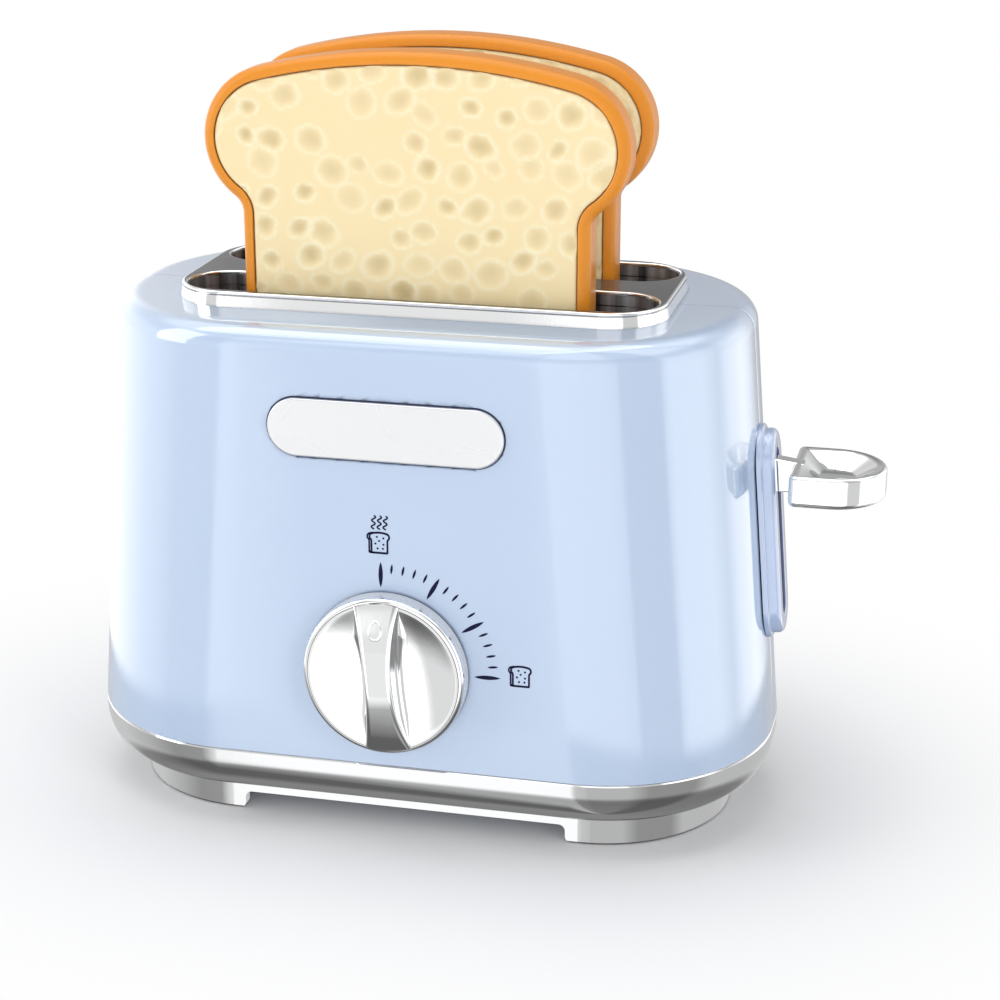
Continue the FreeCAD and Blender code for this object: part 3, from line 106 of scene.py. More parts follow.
# Dial
DIAL_Z = 35.6
KNOB_RADIUS = 15.2
KNOB_FRONT = -44.0
KNOB_BACK = -36.3
KNOB_DISC_FRONT = -40.3
KNOB_RIM = 1.5
KNOB_ROUND = 0.9
KNOB_DISH_DEPTH = 1.6
KNOB_GROOVE = ((0.0, 14.42), (0.22, 14.36), (0.22, 14.26), (0.0, 14.2))
GRIP_RADIUS = 14.5
GRIP_END_HALF = 4.3
GRIP_WAIST_HALF = 2.45
GRIP_EDGE = 0.45
GRIP_FLARE = 2.3
GRIP_FLARE_SHARE = 0.62
GRIP_TILT = 4.0
MARK_UP = 9.6
MARK_RADIUS = 1.35
MARK_WIRE = 0.22

# Printed scale: fifteen steps round the dial, a long stroke at every fifth
PRINT_PROUD = 0.03
SCALE_STEPS = 15
SCALE_LONG_EVERY = 5
SCALE_CENTRE = Vector((0.2, 35.6))
SCALE_START = -4.4
SCALE_SWEEP = 94.2
STROKE_START = 0.5
STROKE_SWEEP = 88.0
LONG_MIDDLE = 18.4
LONG_HALF = 2.45
SHORT_MIDDLE = 19.55
SHORT_HALF = 1.0
ICON_HALF = 2.1
ICON_PLACES = ((-1.6, 60.05), (24.6, 36.5))
ICON_DOTS = ((-0.3, 1.1), (0.9, 0.9), (0.1, 0.35), (-0.6, -0.2), (0.9, -0.3), (-0.2, -1.1), (0.8, -1.1))
STEAM_PLACE = (-1.3, 63.9)

# Lever and its bezel
STEM_HALF = 1.6
STEM_BOTTOM = 61.0
STEM_TOP = 70.5
STEM_INNER_END = 54.5
PADDLE_START = 68.8
PADDLE_END = 86.0
PADDLE_HALF_Y = 10.0
PADDLE_BOTTOM = 63.5
PADDLE_TOP = 69.5
PADDLE_ROUND = 1.2
PADDLE_TOP_ROUND = 0.8
DISH_RIM = 1.4
DISH_DEPTH = 2.4
DISH_FLOOR = 3.2
BEZEL_HALF_Y = 6.2
BEZEL_BOTTOM = 35.2
BEZEL_TOP = 75.2
BEZEL_PROUD = 3.2
BEZEL_FLANGE = 0.9
BEZEL_FLANGE_PROUD = 1.0
BEZEL_EDGE = 1.1
BEZEL_ROUND = 0.5
SLOT_BOTTOM = 39.0
SLOT_TOP = 71.5
LEVER_SLOT_HALF = 2.1

# Slices
SLICE_HALF = 4.0
SLICE_BOTTOM = 73.0
SLICE_TOP = 144.9
CRUST = 2.3
CRUST_ROUND = 2.0
NECK_HALF = 30.3
EAR_HALF = 37.3
EAR_RADIUS = 11.0
ARCH_RADIUS = 117.4
WAIST_RADIUS = 6.0
SLICE_FOOT = 2.0
CRUMB_THICKNESS = 2.0
CRUMB_STEP = 0.6
PORE_DEPTH = 0.42
PORE_SPACING = 6.5

# Surfaces, in metres: how wide the painted edge highlight is, and how far a tight gap's shade reaches
EDGE_LIGHT_WIDTH = 0.0004
CREVICE_SHADE_REACH = 0.0009

# Studio: brightness by share of the way round (0 and 1 are the front, 0.25 the left, 0.5 the
# back, 0.75 the right), by how far up, and on the floor by distance in metres
AMBIENT = 0.50
WHITE = (1, 1, 1, 1)
ROOM_BRIGHTEST = 2.0
ROOM_AROUND = (
    (0.0, 1.5), (0.028, 1.5), (0.034, 0.90), (0.052, 0.90), (0.057, 1.6), (0.078, 1.5), (0.088, 0.78),
    (0.165, 0.80), (0.20, 1.2), (0.28, 1.6), (0.41, 1.6), (0.45, 0.50), (0.52, 0.50), (0.56, 1.0), (0.61, 1.9),
    (0.66, 1.9), (0.69, 1.25), (0.73, 1.9), (0.80, 1.9), (0.812, 1.4), (0.818, 0.70), (0.892, 0.70),
    (0.898, 1.3), (0.92, 1.5),
)
ROOM_UPWARD = ((0.0, 0.95), (0.25, 0.95), (0.50, 0.50), (0.62, 0.50), (0.72, 0.95))
NEAR_AROUND = (
    (0.0, 0.55), (0.022, 0.60), (0.030, 1.1), (0.057, 1.1), (0.066, 0.75), (0.09, 0.32), (0.15, 0.30),
    (0.21, 0.45), (0.30, 0.60), (0.50, 0.60), (0.66, 0.52), (0.755, 0.52), (0.79, 0.30), (0.88, 0.30), (0.92, 0.50),
)
FLOOR_STRETCH = (-0.010, 0.100)
FLOOR_FAR = (0.545, 0.65)
FLOOR_DOWNWARD = ((0.0, 0.42), (0.07, 0.40), (0.25, 0.36), (0.34, 0.42), (0.45, 1.0))
FLOOR_FADE = ((0.16, 0.0), (0.38, 0.60), (0.70, 1.0))

ARC_STEPS = 28


# Outlines in the plane, each a closed list of points going round the same way

def arc(centre, radius, start, end, steps=ARC_STEPS, last=True):
    """Points on an arc, from start to end in degrees."""
    count = steps + 1 if last else steps
    points = []
    for i in range(count):
        angle = math.radians(start + (end - start) * i / steps)
        points.append((centre[0] + radius * math.cos(angle), centre[1] + radius * math.sin(angle)))
    return points


def between(a, b, steps):
    """Points strictly between a and b."""
    return [
        (a[0] + (b[0] - a[0]) * i / steps, a[1] + (b[1] - a[1]) * i / steps)
        for i in range(1, steps)
    ]


def rounded_rectangle(half_a, half_b, radius, centre=(0.0, 0.0), steps=ARC_STEPS, straight=8):
    la, lb = half_a - radius, half_b - radius
    points = []
    for quarter, (sa, sb) in enumerate(((1, 1), (-1, 1), (-1, -1), (1, -1))):
        corner = (centre[0] + sa * la, centre[1] + sb * lb)
        points += arc(corner, radius, 90 * quarter, 90 * quarter + 90, steps)
    full = []
    for i, point in enumerate(points):
        full.append(point)
        if (i + 1) % (steps + 1) == 0:
            full += between(point, points[(i + 1) % len(points)], straight)
    return full


def stadium(half_a, half_b, centre=(0.0, 0.0), steps=ARC_STEPS):
    """A slot outline: its ends are half circles across the shorter way."""
    return rounded_rectangle(half_a, half_b, min(half_a, half_b) - 1e-4, centre, steps)


def circle(radius, centre=(0.0, 0.0), steps=4 * ARC_STEPS):
    return arc(centre, radius, 0, 360, steps, last=False)


def slice_outline(grow):
    """A slice of bread: arch, two ears, waist, straight sides. Corners get denser points."""
    arch_z = SLICE_TOP - CRUST - ARCH_RADIUS
    ear_x = EAR_HALF - EAR_RADIUS
    ear_z = arch_z + math.sqrt((ARCH_RADIUS - EAR_RADIUS) ** 2 - ear_x ** 2)
    waist_x = NECK_HALF + WAIST_RADIUS
    waist_z = ear_z - math.sqrt((EAR_RADIUS + WAIST_RADIUS) ** 2 - (waist_x - ear_x) ** 2)
    bottom = SLICE_BOTTOM + CRUST
    foot_x = NECK_HALF - SLICE_FOOT
    foot_z = bottom + SLICE_FOOT
    lean = math.degrees(math.atan2(ear_x, ear_z - arch_z))
    drop = math.degrees(math.atan2(waist_z - ear_z, waist_x - ear_x))
    foot_radius = SLICE_FOOT + grow
    right = arc((foot_x, foot_z), foot_radius, -90, 0, 8)
    right += between(right[-1], (NECK_HALF + grow, waist_z), 24)
    right += arc((waist_x, waist_z), WAIST_RADIUS - grow, 180, 180 + drop, 14)
    right += arc((ear_x, ear_z), EAR_RADIUS + grow, drop, 90 - lean, 44)[1:]
    right += arc((0, arch_z), ARCH_RADIUS + grow, 90 - lean, 90, 40)[1:]
    left = [(-x, z) for x, z in reversed(right[:-1])]
    return right + left + between(left[-1], right[0], 40)


# Mesh building

def place_flat(z_axis):
    """How a plane point and a height become a place: the axis named is the height's."""
    return {
        "x": lambda a, b, h: (h, a, b),
        "y": lambda a, b, h: (a, h, b),
        "z": lambda a, b, h: (a, b, h),
    }[z_axis]


def placed(name, data):
    """An object of the data, in the scene."""
    made = bpy.data.objects.new(name, data)
    bpy.context.scene.collection.objects.link(made)
    return made


def finish(bm, name, sharp=40):
    """Makes an object of the mesh, in metres, with clean normals."""
    bmesh.ops.remove_doubles(bm, verts=bm.verts, dist=1e-5)
    bmesh.ops.dissolve_degenerate(bm, edges=bm.edges, dist=1e-6)
    bmesh.ops.recalc_face_normals(bm, faces=bm.faces)
    for vert in bm.verts:
        vert.co = (vert.co - ORIGIN) * MM
    mesh = bpy.data.meshes.new(name)
    bm.to_mesh(mesh)
    bm.free()
    piece = placed(name, mesh)
    smooth(piece, sharp)
    return piece


def smooth(piece, sharp=40):
    piece.data.shade_smooth()
    piece.data.set_sharp_from_angle(angle=math.radians(sharp))
    if not any(m.type == "WEIGHTED_NORMAL" for m in piece.modifiers):
        weighted = piece.modifiers.new("normals", "WEIGHTED_NORMAL")
        weighted.keep_sharp = True


def rings(bm, rows, closed_rows, closed_ring=True):
    """Joins rows of places with quads. Each row has as many places as the next."""
    made = [[bm.verts.new(p) for p in row] for row in rows]
    pairs = list(zip(made, made[1:]))
    if closed_rows:
        pairs.append((made[-1], made[0]))
    for low, high in pairs:
        count = len(low)
        for i in range(count if closed_ring else count - 1):
            j = (i + 1) % count
            bm.faces.new((low[i], low[j], high[j], high[i]))
    return made


def cap(bm, loops):
    """Fills the space inside the first loop and outside the others."""
    edges = []
    for loop in loops:
        for i, vert in enumerate(loop):
            other = loop[(i + 1) % len(loop)]
            edge = bm.edges.get((vert, other))
            edges.append(edge or bm.edges.new((vert, other)))
    bmesh.ops.triangle_fill(bm, edges=edges, use_beauty=True, use_dissolve=False)


def build_up(bm, outlines, rows, axis):
    """A plate made of stacked outlines. rows are (height, inset); a hole grows by the inset."""
    place = place_flat(axis)
    stacks = []
    for outline in outlines:
        stacks.append(rings(bm, [[place(a, b, h) for a, b in outline(inset)] for h, inset in rows], False))
    cap(bm, [stack[0] for stack in stacks])
    cap(bm, [stack[-1] for stack in stacks])


def plate(name, outlines, rows, axis, sharp=40):
    bm = bmesh.new()
    build_up(bm, outlines, rows, axis)
    return finish(bm, name, sharp)


def swept(name, outline, profile, axis, sharp=40):
    """A closed ring: the profile's (height, grow) points are carried round the outline."""
    place = place_flat(axis)
    bm = bmesh.new()
    rings(bm, [[place(a, b, h) for a, b in outline(grow)] for h, grow in profile], True)
    return finish(bm, name, sharp)


def quarter_round(steps):
    """A quarter turn as (1 - sin, 1 - cos) pairs: how far a round edge falls back, both ways."""
    turns = [math.radians(90 * i / steps) for i in range(steps + 1)]
    return [(1 - math.sin(turn), 1 - math.cos(turn)) for turn in turns]


def box_rows(low, high, edge):
    """Rows of a plate whose top and bottom edges are rounded."""
    falls = [(edge * down, edge * across) for down, across in quarter_round(5)]
    bottom = [(low + down, across) for down, across in reversed(falls)]
    return bottom + [(high - down, across) for down, across in falls]


def carve(piece, tools, sharp=40):
    """Cuts the tools away from the piece, and deletes them."""
    piece.modifiers.clear()
    for tool in tools:
        modifier = piece.modifiers.new("carve", "BOOLEAN")
        modifier.operation = "DIFFERENCE"
        modifier.solver = "EXACT"
        modifier.object = tool
    graph = bpy.context.evaluated_depsgraph_get()
    mesh = bpy.data.meshes.new_from_object(piece.evaluated_get(graph))
    mesh.name = piece.name
    piece.modifiers.clear()
    piece.data = mesh
    for tool in tools:
        bpy.data.objects.remove(tool)
    smooth(piece, sharp)
    return piece


def cutter(outline, low, high, axis):
    bm = bmesh.new()
    build_up(bm, [lambda inset: outline], [(low, 0), (high, 0)], axis)
    return finish(bm, "cutter")


# Materials

def feed(tree, made, inputs):
    """Gives a node's inputs plain values, or links them from sockets."""
    for key, value in inputs.items():
        if isinstance(value, bpy.types.NodeSocket):
            tree.links.new(value, made.inputs[key])
        else:
            made.inputs[key].default_value = value
    return made


def node(tree, kind, inputs=None, **settings):
    made = tree.nodes.new("ShaderNode" + kind)
    for name, value in settings.items():
        setattr(made, name, value)
    return feed(tree, made, inputs or {})


def new_material(name):
    material = bpy.data.materials.new(name)
    material.use_nodes = True
    return material, material.node_tree, material.node_tree.nodes["Principled BSDF"]


def noise_node(tree, scale, detail, rough=0.5, vector=None):
    vector = vector or node(tree, "TexCoord").outputs["Object"]
    inputs = {"Vector": vector, "Scale": scale, "Detail": detail, "Roughness": rough}
    return node(tree, "TexNoise", inputs).outputs["Fac"]


def stretch(tree, source, low, high, low_out=0.0, high_out=1.0):
    """Maps the range from low to high onto another, and holds its ends."""
    inputs = {"Value": source, "From Min": low, "From Max": high, "To Min": low_out, "To Max": high_out}
    return node(tree, "MapRange", inputs).outputs["Result"]


def spread(tree, source, low, high):
    """Maps the middle of a noise, where most of it lies, to a range."""
    return stretch(tree, source, 0.3, 0.7, low, high)


def blend_colour(tree, factor, a, b, blend="MIX"):
    a, b = [(*value, 1.0) if isinstance(value, tuple) else value for value in (a, b)]
    return node(tree, "Mix", {0: factor, 6: a, 7: b}, data_type="RGBA", blend_type=blend).outputs[2]


def edge_highlight(tree, texture):
    """Where rounded edges get a painted highlight: a bevel's normal against the true one, broken up by noise."""
    bevel = node(tree, "Bevel", {"Radius": EDGE_LIGHT_WIDTH}, samples=4).outputs["Normal"]
    true = node(tree, "NewGeometry").outputs["Normal"]
    dot = node(tree, "VectorMath", {0: bevel, 1: true}, operation="DOT_PRODUCT").outputs["Value"]
    edge_lit = stretch(tree, dot, 0.995, 0.90)
    return node(tree, "Math", {0: edge_lit, 1: texture}, operation="MULTIPLY").outputs["Value"]


def paint_crevice_shade(tree, base, dark):
    """Darkens a colour in tight gaps and inside corners, where little light gets in."""
    openness = node(tree, "AmbientOcclusion", {"Distance": CREVICE_SHADE_REACH}, samples=6).outputs["AO"]
    return blend_colour(tree, stretch(tree, openness, 0.32, 0.74), dark, base)


def bump(tree, shader, height, strength, distance):
    relief = node(tree, "Bump", {"Strength": strength, "Distance": distance, "Height": height})
    tree.links.new(relief.outputs["Normal"], shader.inputs["Normal"])


def surface(
    name, colour, shade, rough, metal=0.0, coat=0.0, specular=0.5, grain=900.0, grain_depth=0.00001,
    edge_light=None, gap=None,
):
    """A moulded or plated surface: slow colour drift, uneven gloss, fine grain, a painted highlight on rounded edges
    and painted shade in tight gaps.
    """
    material, tree, shader = new_material(name)
    drift = noise_node(tree, 35.0, 3.0)
    fine = noise_node(tree, grain, 2.0)
    base = blend_colour(tree, drift, colour, shade)
    # Painted highlight: a lighter colour along rounded edges.
    if edge_light is not None:
        base = blend_colour(tree, edge_highlight(tree, fine), base, edge_light)
    # Painted shade in tight gaps and inside corners.
    if gap is not None:
        base = paint_crevice_shade(tree, base, gap)
    feed(tree, shader, {
        "Base Color": base, "Roughness": spread(tree, drift, *rough), "Metallic": metal,
        "Specular IOR Level": specular, "Coat Weight": coat, "Coat Roughness": 0.03, "Coat IOR": 1.95,
    })
    bump(tree, shader, fine, 0.25, grain_depth)
    return material


def crumb_material():
    """Cream crumb: the pore attribute paints tan shade into the hollows and a pale highlight onto their lips."""
    material, tree, shader = new_material("crumb_cream")
    depth, lip = [node(tree, "Attribute", attribute_name=name).outputs["Fac"] for name in ("pore", "lip")]
    mottle = noise_node(tree, 260.0, 5.0, 0.6)
    plain = blend_colour(tree, mottle, (0.97, 0.78, 0.44), (0.99, 0.82, 0.49))
    # The tan in the hollows is painted shade, and the pale on the lips a painted highlight.
    hollow_shade = blend_colour(tree, mottle, (0.66, 0.50, 0.24), (0.77, 0.61, 0.33))
    lip_highlighted = blend_colour(tree, lip, blend_colour(tree, depth, plain, hollow_shade), (1.0, 0.90, 0.62))
    feed(tree, shader, {"Base Color": lip_highlighted, "Roughness": spread(tree, mottle, 0.42, 0.58)})
    bump(tree, shader, noise_node(tree, 1600.0, 3.0), 0.3, 0.00003)
    return material


def painted_throat_material():
    """Plated steel inside the slots, as painted shade with upright light and dark streaks of painted reflection."""
    material, tree, shader = new_material("throat_painted_light")
    place = node(tree, "TexCoord").outputs["Object"]
    upright = node(tree, "Mapping", {"Vector": place, "Scale": (1.0, 1.0, 0.02)}).outputs["Vector"]
    streaks = noise_node(tree, 420.0, 2.0, vector=upright)
    base = blend_colour(tree, spread(tree, streaks, 0.0, 1.0), (0.035, 0.037, 0.042), (0.36, 0.375, 0.41))
    feed(tree, shader, {"Base Color": base, "Roughness": spread(tree, streaks, 0.25, 0.4), "Metallic": 0.1})
    bump(tree, shader, streaks, 0.3, 0.00002)
    return material


# In the surfaces below, the edge colour is a painted highlight on rounded edges, and the gap colour is painted shade
# in tight gaps and inside corners.
BLUE = surface(
    "casing_blue", (0.505, 0.630, 0.830), (0.525, 0.650, 0.840), (0.13, 0.19),
    coat=1.0, edge_light=(0.66, 0.77, 0.92), gap=(0.12, 0.16, 0.28),
)
# Painted shade: a slightly darker copy of the casing blue for the bezel, with a softer painted shade in its gaps.
BEZEL_SHADED_BLUE = surface(
    "bezel_blue_painted_shade", (0.470, 0.575, 0.800), (0.490, 0.595, 0.810), (0.13, 0.19), coat=1.0, gap=(0.25, 0.31, 0.50),
)
# Painted shade: a dark blue for the plate's recess and the lever slot's inner walls.
PAINTED_SHADE_BLUE = surface("painted_shade_blue", (0.10, 0.13, 0.27), (0.13, 0.16, 0.31), (0.35, 0.5), grain=1200.0)
CHROME = surface(
    "plated_chrome", (0.92, 0.925, 0.93), (0.88, 0.885, 0.895), (0.035, 0.07),
    metal=1.0, edge_light=(0.95, 0.95, 0.95), gap=(0.10, 0.10, 0.11),
)
SATIN = surface(
    "plate_satin", (0.81, 0.815, 0.82), (0.77, 0.775, 0.785), (0.24, 0.32),
    metal=0.6, grain=2400.0, gap=(0.10, 0.11, 0.16),
)
# Painted reflection: the dial's chrome side wall as a pale, half-metal grey, with a painted shade line in its gap.
DIAL_EDGE_PAINTED_REFLECTION = surface(
    "dial_edge_painted_reflection", (0.80, 0.80, 0.81), (0.74, 0.74, 0.75), (0.2, 0.3), metal=0.35, gap=(0.06, 0.06, 0.08),
)
# Painted reflection: the collar's flat chrome top, dark grey as if it mirrored a dark part of the room.
COLLAR_TOP_PAINTED_REFLECTION = surface("collar_top_painted_reflection", (0.15, 0.15, 0.155), (0.18, 0.18, 0.185), (0.22, 0.32), metal=0.7)
ORANGE = surface(
    "crust_orange", (0.82, 0.285, 0.022), (0.86, 0.315, 0.030), (0.26, 0.36),
    grain=700.0, grain_depth=0.00002, edge_light=(0.93, 0.44, 0.11), gap=(0.25, 0.08, 0.01), specular=0.32,
)
INK = surface("scale_ink", (0.005, 0.005, 0.035), (0.008, 0.008, 0.045), (0.4, 0.55), specular=0.15)
INNER = surface(
    "inner_grey", (0.42, 0.47, 0.55), (0.46, 0.51, 0.58), (0.4, 0.55), grain=1200.0, grain_depth=0.00003,
)
STEEL = surface(
    "steel_bright", (0.62, 0.62, 0.63), (0.55, 0.55, 0.57), (0.22, 0.38),
    metal=1.0, grain=2000.0, edge_light=(0.8, 0.8, 0.8),
)
CRUMB = crumb_material()
THROAT_PAINTED_LIGHT = painted_throat_material()
SLOT_MATERIALS = {
    "body_blue": BLUE,
    "chrome": CHROME,
    "inner_plastic": INNER,
    "crust": ORANGE,
    "crumb": CRUMB,
    "steel": STEEL,
}


def dress(piece, material, body, slot, *nodes):
    piece.data.materials.clear()
    piece.data.materials.append(material)
    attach(piece, body)
    if nodes:
        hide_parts(*nodes)
    return piece


def dress_frame():
    """Every CAD node gets its slot's material through its object's own slots."""
    slots = {part["node"]: part["material_slot"] for part in frame["record"]["subparts"]}
    for node, piece in frame["nodes"].items():
        for slot in piece.material_slots:
            slot.link = "OBJECT"
            slot.material = SLOT_MATERIALS[slots[node]]


# Casing

def half_width(z):
    return HALF_WIDTH_BOTTOM - (z - SHELL_BOTTOM) * TAPER


def half_outline(half_x, half_y, radius, side, seam_in):
    """The front (side -1) or rear (side 1) half of an outline, from seam to seam."""
    first = [(half_x - seam_in, SEAM_HALF), (half_x, SEAM_HALF + SEAM_ROUND)]
    corner = (half_x - radius, half_y - radius)
    quarter = arc(corner, radius, 0, 90, 40)
    right = first + between(first[-1], quarter[0], 3) + quarter
    left = [(-x, y) for x, y in reversed(right)]
    whole = right + between(right[-1], left[0], 24) + left
    return [(x, side * y) for x, y in whole]


def shell_rows(side):
    outside = []
    rim = 0.25
    for inset, z in ((WALL, SHELL_BOTTOM), (rim, SHELL_BOTTOM), (0.0, SHELL_BOTTOM + rim)):
        outside.append((z, half_width(z) - inset, HALF_DEPTH - inset, CORNER - inset))
    for i in range(1, 25):
        z = SHELL_BOTTOM + rim + (SHELL_TOP - SHOULDER - SHELL_BOTTOM - rim) * i / 24
        outside.append((z, half_width(z), HALF_DEPTH, CORNER))
    for i in range(1, 13):
        angle = math.radians(90 * i / 12)
        inset = SHOULDER * (1 - math.cos(angle))
        z = SHELL_TOP - SHOULDER + SHOULDER * math.sin(angle)
        outside.append((z, half_width(z) - inset, HALF_DEPTH - inset, CORNER - inset))
    edge = (outside[-1][1], outside[-1][2], outside[-1][3])
    lip = (COLLAR_HALF_X - 0.6, COLLAR_HALF_Y - 0.6, COLLAR_CORNER - 0.6)
    for share in (0.05, 0.35, 0.7, 1.0):
        outside.append((SHELL_TOP, *(a + (b - a) * share for a, b in zip(edge, lip))))
    inside = [(SHELL_TOP - WALL, *lip)]
    for i in range(7):
        z = SHELL_TOP - WALL + (SHELL_BOTTOM - SHELL_TOP + WALL) * i / 6
        inside.append((z, half_width(z) - WALL, HALF_DEPTH - WALL, CORNER - WALL))
    rows = [(row, SEAM_ROUND) for row in outside] + [(row, 0.0) for row in inside[:-1]]
    return [
        [(x, y, z) for x, y in half_outline(hx, hy, r, side, seam)]
        for (z, hx, hy, r), seam in rows
    ]


def lever_slot(grow):
    half = (SLOT_TOP - SLOT_BOTTOM) / 2
    return stadium(LEVER_SLOT_HALF + grow, half + grow, (0, (SLOT_TOP + SLOT_BOTTOM) / 2))


def shell(side, name):
    bm = bmesh.new()
    made = rings(bm, shell_rows(side), True, closed_ring=False)
    for end in (0, -1):
        bm.faces.new([row[end] for row in made])
    piece = finish(bm, name, 35)
    cuts = [cutter(lever_slot(SHELL_SLOT_GAP), half_width(SHELL_TOP) - 3 * WALL, HALF_WIDTH_BOTTOM + 2 * WALL, "x")]
    if side < 0:
        recess = stadium(PLATE_HALF_X + PLATE_GAP, PLATE_HALF_Z + PLATE_GAP, (0, PLATE_Z))
        cuts.append(cutter(recess, -HALF_DEPTH - 2, -HALF_DEPTH + PLATE_SUNK, "y"))
    else:
        for x, z in SCREW_WELLS:
            for mirrored in (x, -x):
                cuts.append(cutter(circle(SCREW_WELL_RADIUS, (mirrored, z), 48), SCREW_SEAT, HALF_DEPTH + 2, "y"))
    return carve(piece, cuts, 35)


def build_casing():
    front = dress(shell(-1, "front_shell_skin"), BLUE, "casing", "body_blue", "front_shell")
    # The plate's recess gets the dark painted shade.
    front.data.materials.append(PAINTED_SHADE_BLUE)
    for polygon in front.data.polygons:
        middle = polygon.center / MM + ORIGIN
        sunk = 0.02 < middle.y + HALF_DEPTH < PLATE_SUNK + 0.05
        if sunk and abs(middle.x) < PLATE_HALF_X + 1 and abs(middle.z - PLATE_Z) < PLATE_HALF_Z + 1:
            polygon.material_index = 1
    dress(shell(1, "rear_shell_skin"), BLUE, "casing", "body_blue", "rear_shell")


def build_collar():
    def outside(inset):
        return rounded_rectangle(COLLAR_HALF_X - inset, COLLAR_HALF_Y - inset, COLLAR_CORNER - inset)

    def slot(y):
        def widened(inset):
            grow = max(inset - COLLAR_LEAN, 0.0)
            return stadium(SLOT_HALF_X + grow, SLOT_HALF_Y + grow, (0, y))
        return widened

    rows = [(SHELL_TOP, 0.0), (COLLAR_TOP - 0.80, COLLAR_LEAN), (COLLAR_TOP - 0.78, COLLAR_LEAN + 0.16)]
    rows.append((COLLAR_TOP - 0.62, COLLAR_LEAN + 0.16))
    for down, across in quarter_round(6):
        rows.append((COLLAR_TOP - COLLAR_EDGE * down, COLLAR_LEAN + COLLAR_EDGE * across))
    collar = plate("collar", [outside, slot(-SLOT_CENTRE), slot(SLOT_CENTRE)], rows, "z")
    dress(collar, CHROME, "casing", "chrome", "top_collar")
    collar.data.materials.append(COLLAR_TOP_PAINTED_REFLECTION)
    collar.data.materials.append(THROAT_PAINTED_LIGHT)
    top = COLLAR_TOP * MM - 1e-5
    reach = SLOT_HALF_X - SLOT_HALF_Y
    for polygon in collar.data.polygons:
        middle = polygon.center / MM + ORIGIN
        axis = Vector((max(-reach, min(reach, middle.x)), math.copysign(SLOT_CENTRE, middle.y)))
        # The flat top faces get the dark painted reflection, and the slot walls the throat's painted shade and
        # reflection streaks.
        if polygon.normal.z > 0.999 and polygon.center.z > top:
            polygon.material_index = 1
        elif abs(polygon.normal.z) < 0.3 and (middle.to_2d() - axis).length < SLOT_HALF_Y + 0.2:
            polygon.material_index = 2
    # The throats carry the painted shade and the painted reflection streaks.
    for name, y in (("front", -SLOT_CENTRE), ("rear", SLOT_CENTRE)):
        profile = [(THROAT_BOTTOM, 0.0), (THROAT_BOTTOM, THROAT_WALL)]
        profile += [(SHELL_TOP, THROAT_WALL), (SHELL_TOP + 0.2, 0.0)]
        dress(swept(f"{name}_throat", slot(y), profile, "z"), THROAT_PAINTED_LIGHT, "casing", "chrome")


def build_front_plate():
    front = -HALF_DEPTH - PLATE_PROUD
    back = -HALF_DEPTH + PLATE_SUNK
    rows = [(back, 0.0)] + [(front + PLATE_EDGE * down, PLATE_EDGE * across) for down, across in quarter_round(6)]

    def outline(inset):
        return stadium(PLATE_HALF_X - inset, PLATE_HALF_Z - inset, (0, PLATE_Z))

    dress(plate("front_plate_face", [outline], rows, "y"), SATIN, "casing", "chrome", "front_plate")


def base_outline(inset):
    return rounded_rectangle(HALF_WIDTH_BOTTOM - inset, HALF_DEPTH - inset, CORNER - inset, steps=40)


def build_base():
    chamfer = 0.3
    profile = [(SHELL_BOTTOM, chamfer), (SHELL_BOTTOM - chamfer, 0.0)]
    centre_z = BAND_BOTTOM + BAND_ROUND
    for i in range(17):
        angle = math.radians(90 * i / 16)
        profile.append((centre_z - BAND_ROUND * math.sin(angle), BAND_ROUND * (1 - math.cos(angle))))
    inner = BAND_ROUND + 2 * PLINTH_WALL
    profile += [(BAND_BOTTOM, inner), (BAND_BOTTOM + BAND_WALL, inner)]
    profile += [
        (centre_z - (BAND_ROUND - BAND_WALL) * math.sin(math.radians(90 * i / 8)),
         BAND_ROUND - (BAND_ROUND - BAND_WALL) * math.cos(math.radians(90 * i / 8)) + WALL)
        for i in reversed(range(9))
    ]
    lip = SHELL_BOTTOM + BAND_LIP
    profile += [(lip, WALL + BAND_WALL), (lip, WALL + 0.3), (SHELL_BOTTOM, WALL + 0.1)]
    band = swept("base_band_skin", base_outline, profile, "z")
    dress(band, CHROME, "casing", "chrome", "base_band")

    foot = 0.4
    outer = [(BAND_BOTTOM, BAND_ROUND), (foot, BAND_ROUND), (foot / 3, BAND_ROUND + foot / 3), (0, BAND_ROUND + foot)]
    wall = BAND_ROUND + PLINTH_WALL
    plinth = swept("plinth_skin", base_outline, outer + [(0, wall), (BAND_BOTTOM, wall)], "z")
    r = FOOT_GAP_ROUND
    gap = arc((FOOT_GAP_HALF - r, FOOT_GAP_HEIGHT - r), r, 90, 0, 6)
    gap += arc((FOOT_GAP_HALF + r, r), r, 180, 270, 6)
    gap += [(FOOT_GAP_HALF + r, -2.0)]
    outline = gap + [(-x, z) for x, z in reversed(gap)]
    carve(plinth, [cutter(outline, -HALF_DEPTH, HALF_DEPTH, "y")])
    dress(plinth, CHROME, "casing", "chrome", "base_plinth")


# Bezel, in the plane of the leaning right-hand wall

def wall_place(outline, proud, centre_z):
    """Puts (across, up) points on the right-hand wall, standing proud of it."""
    lean = math.atan(TAPER)
    out = Vector((math.cos(lean), 0, math.sin(lean)))
    up = Vector((-math.sin(lean), 0, math.cos(lean)))
    origin = Vector((half_width(centre_z), 0, centre_z))
    return [
        tuple(origin + out * proud + up * (b - centre_z) / math.cos(lean) + Vector((0, a, 0))) for a, b in outline
    ]


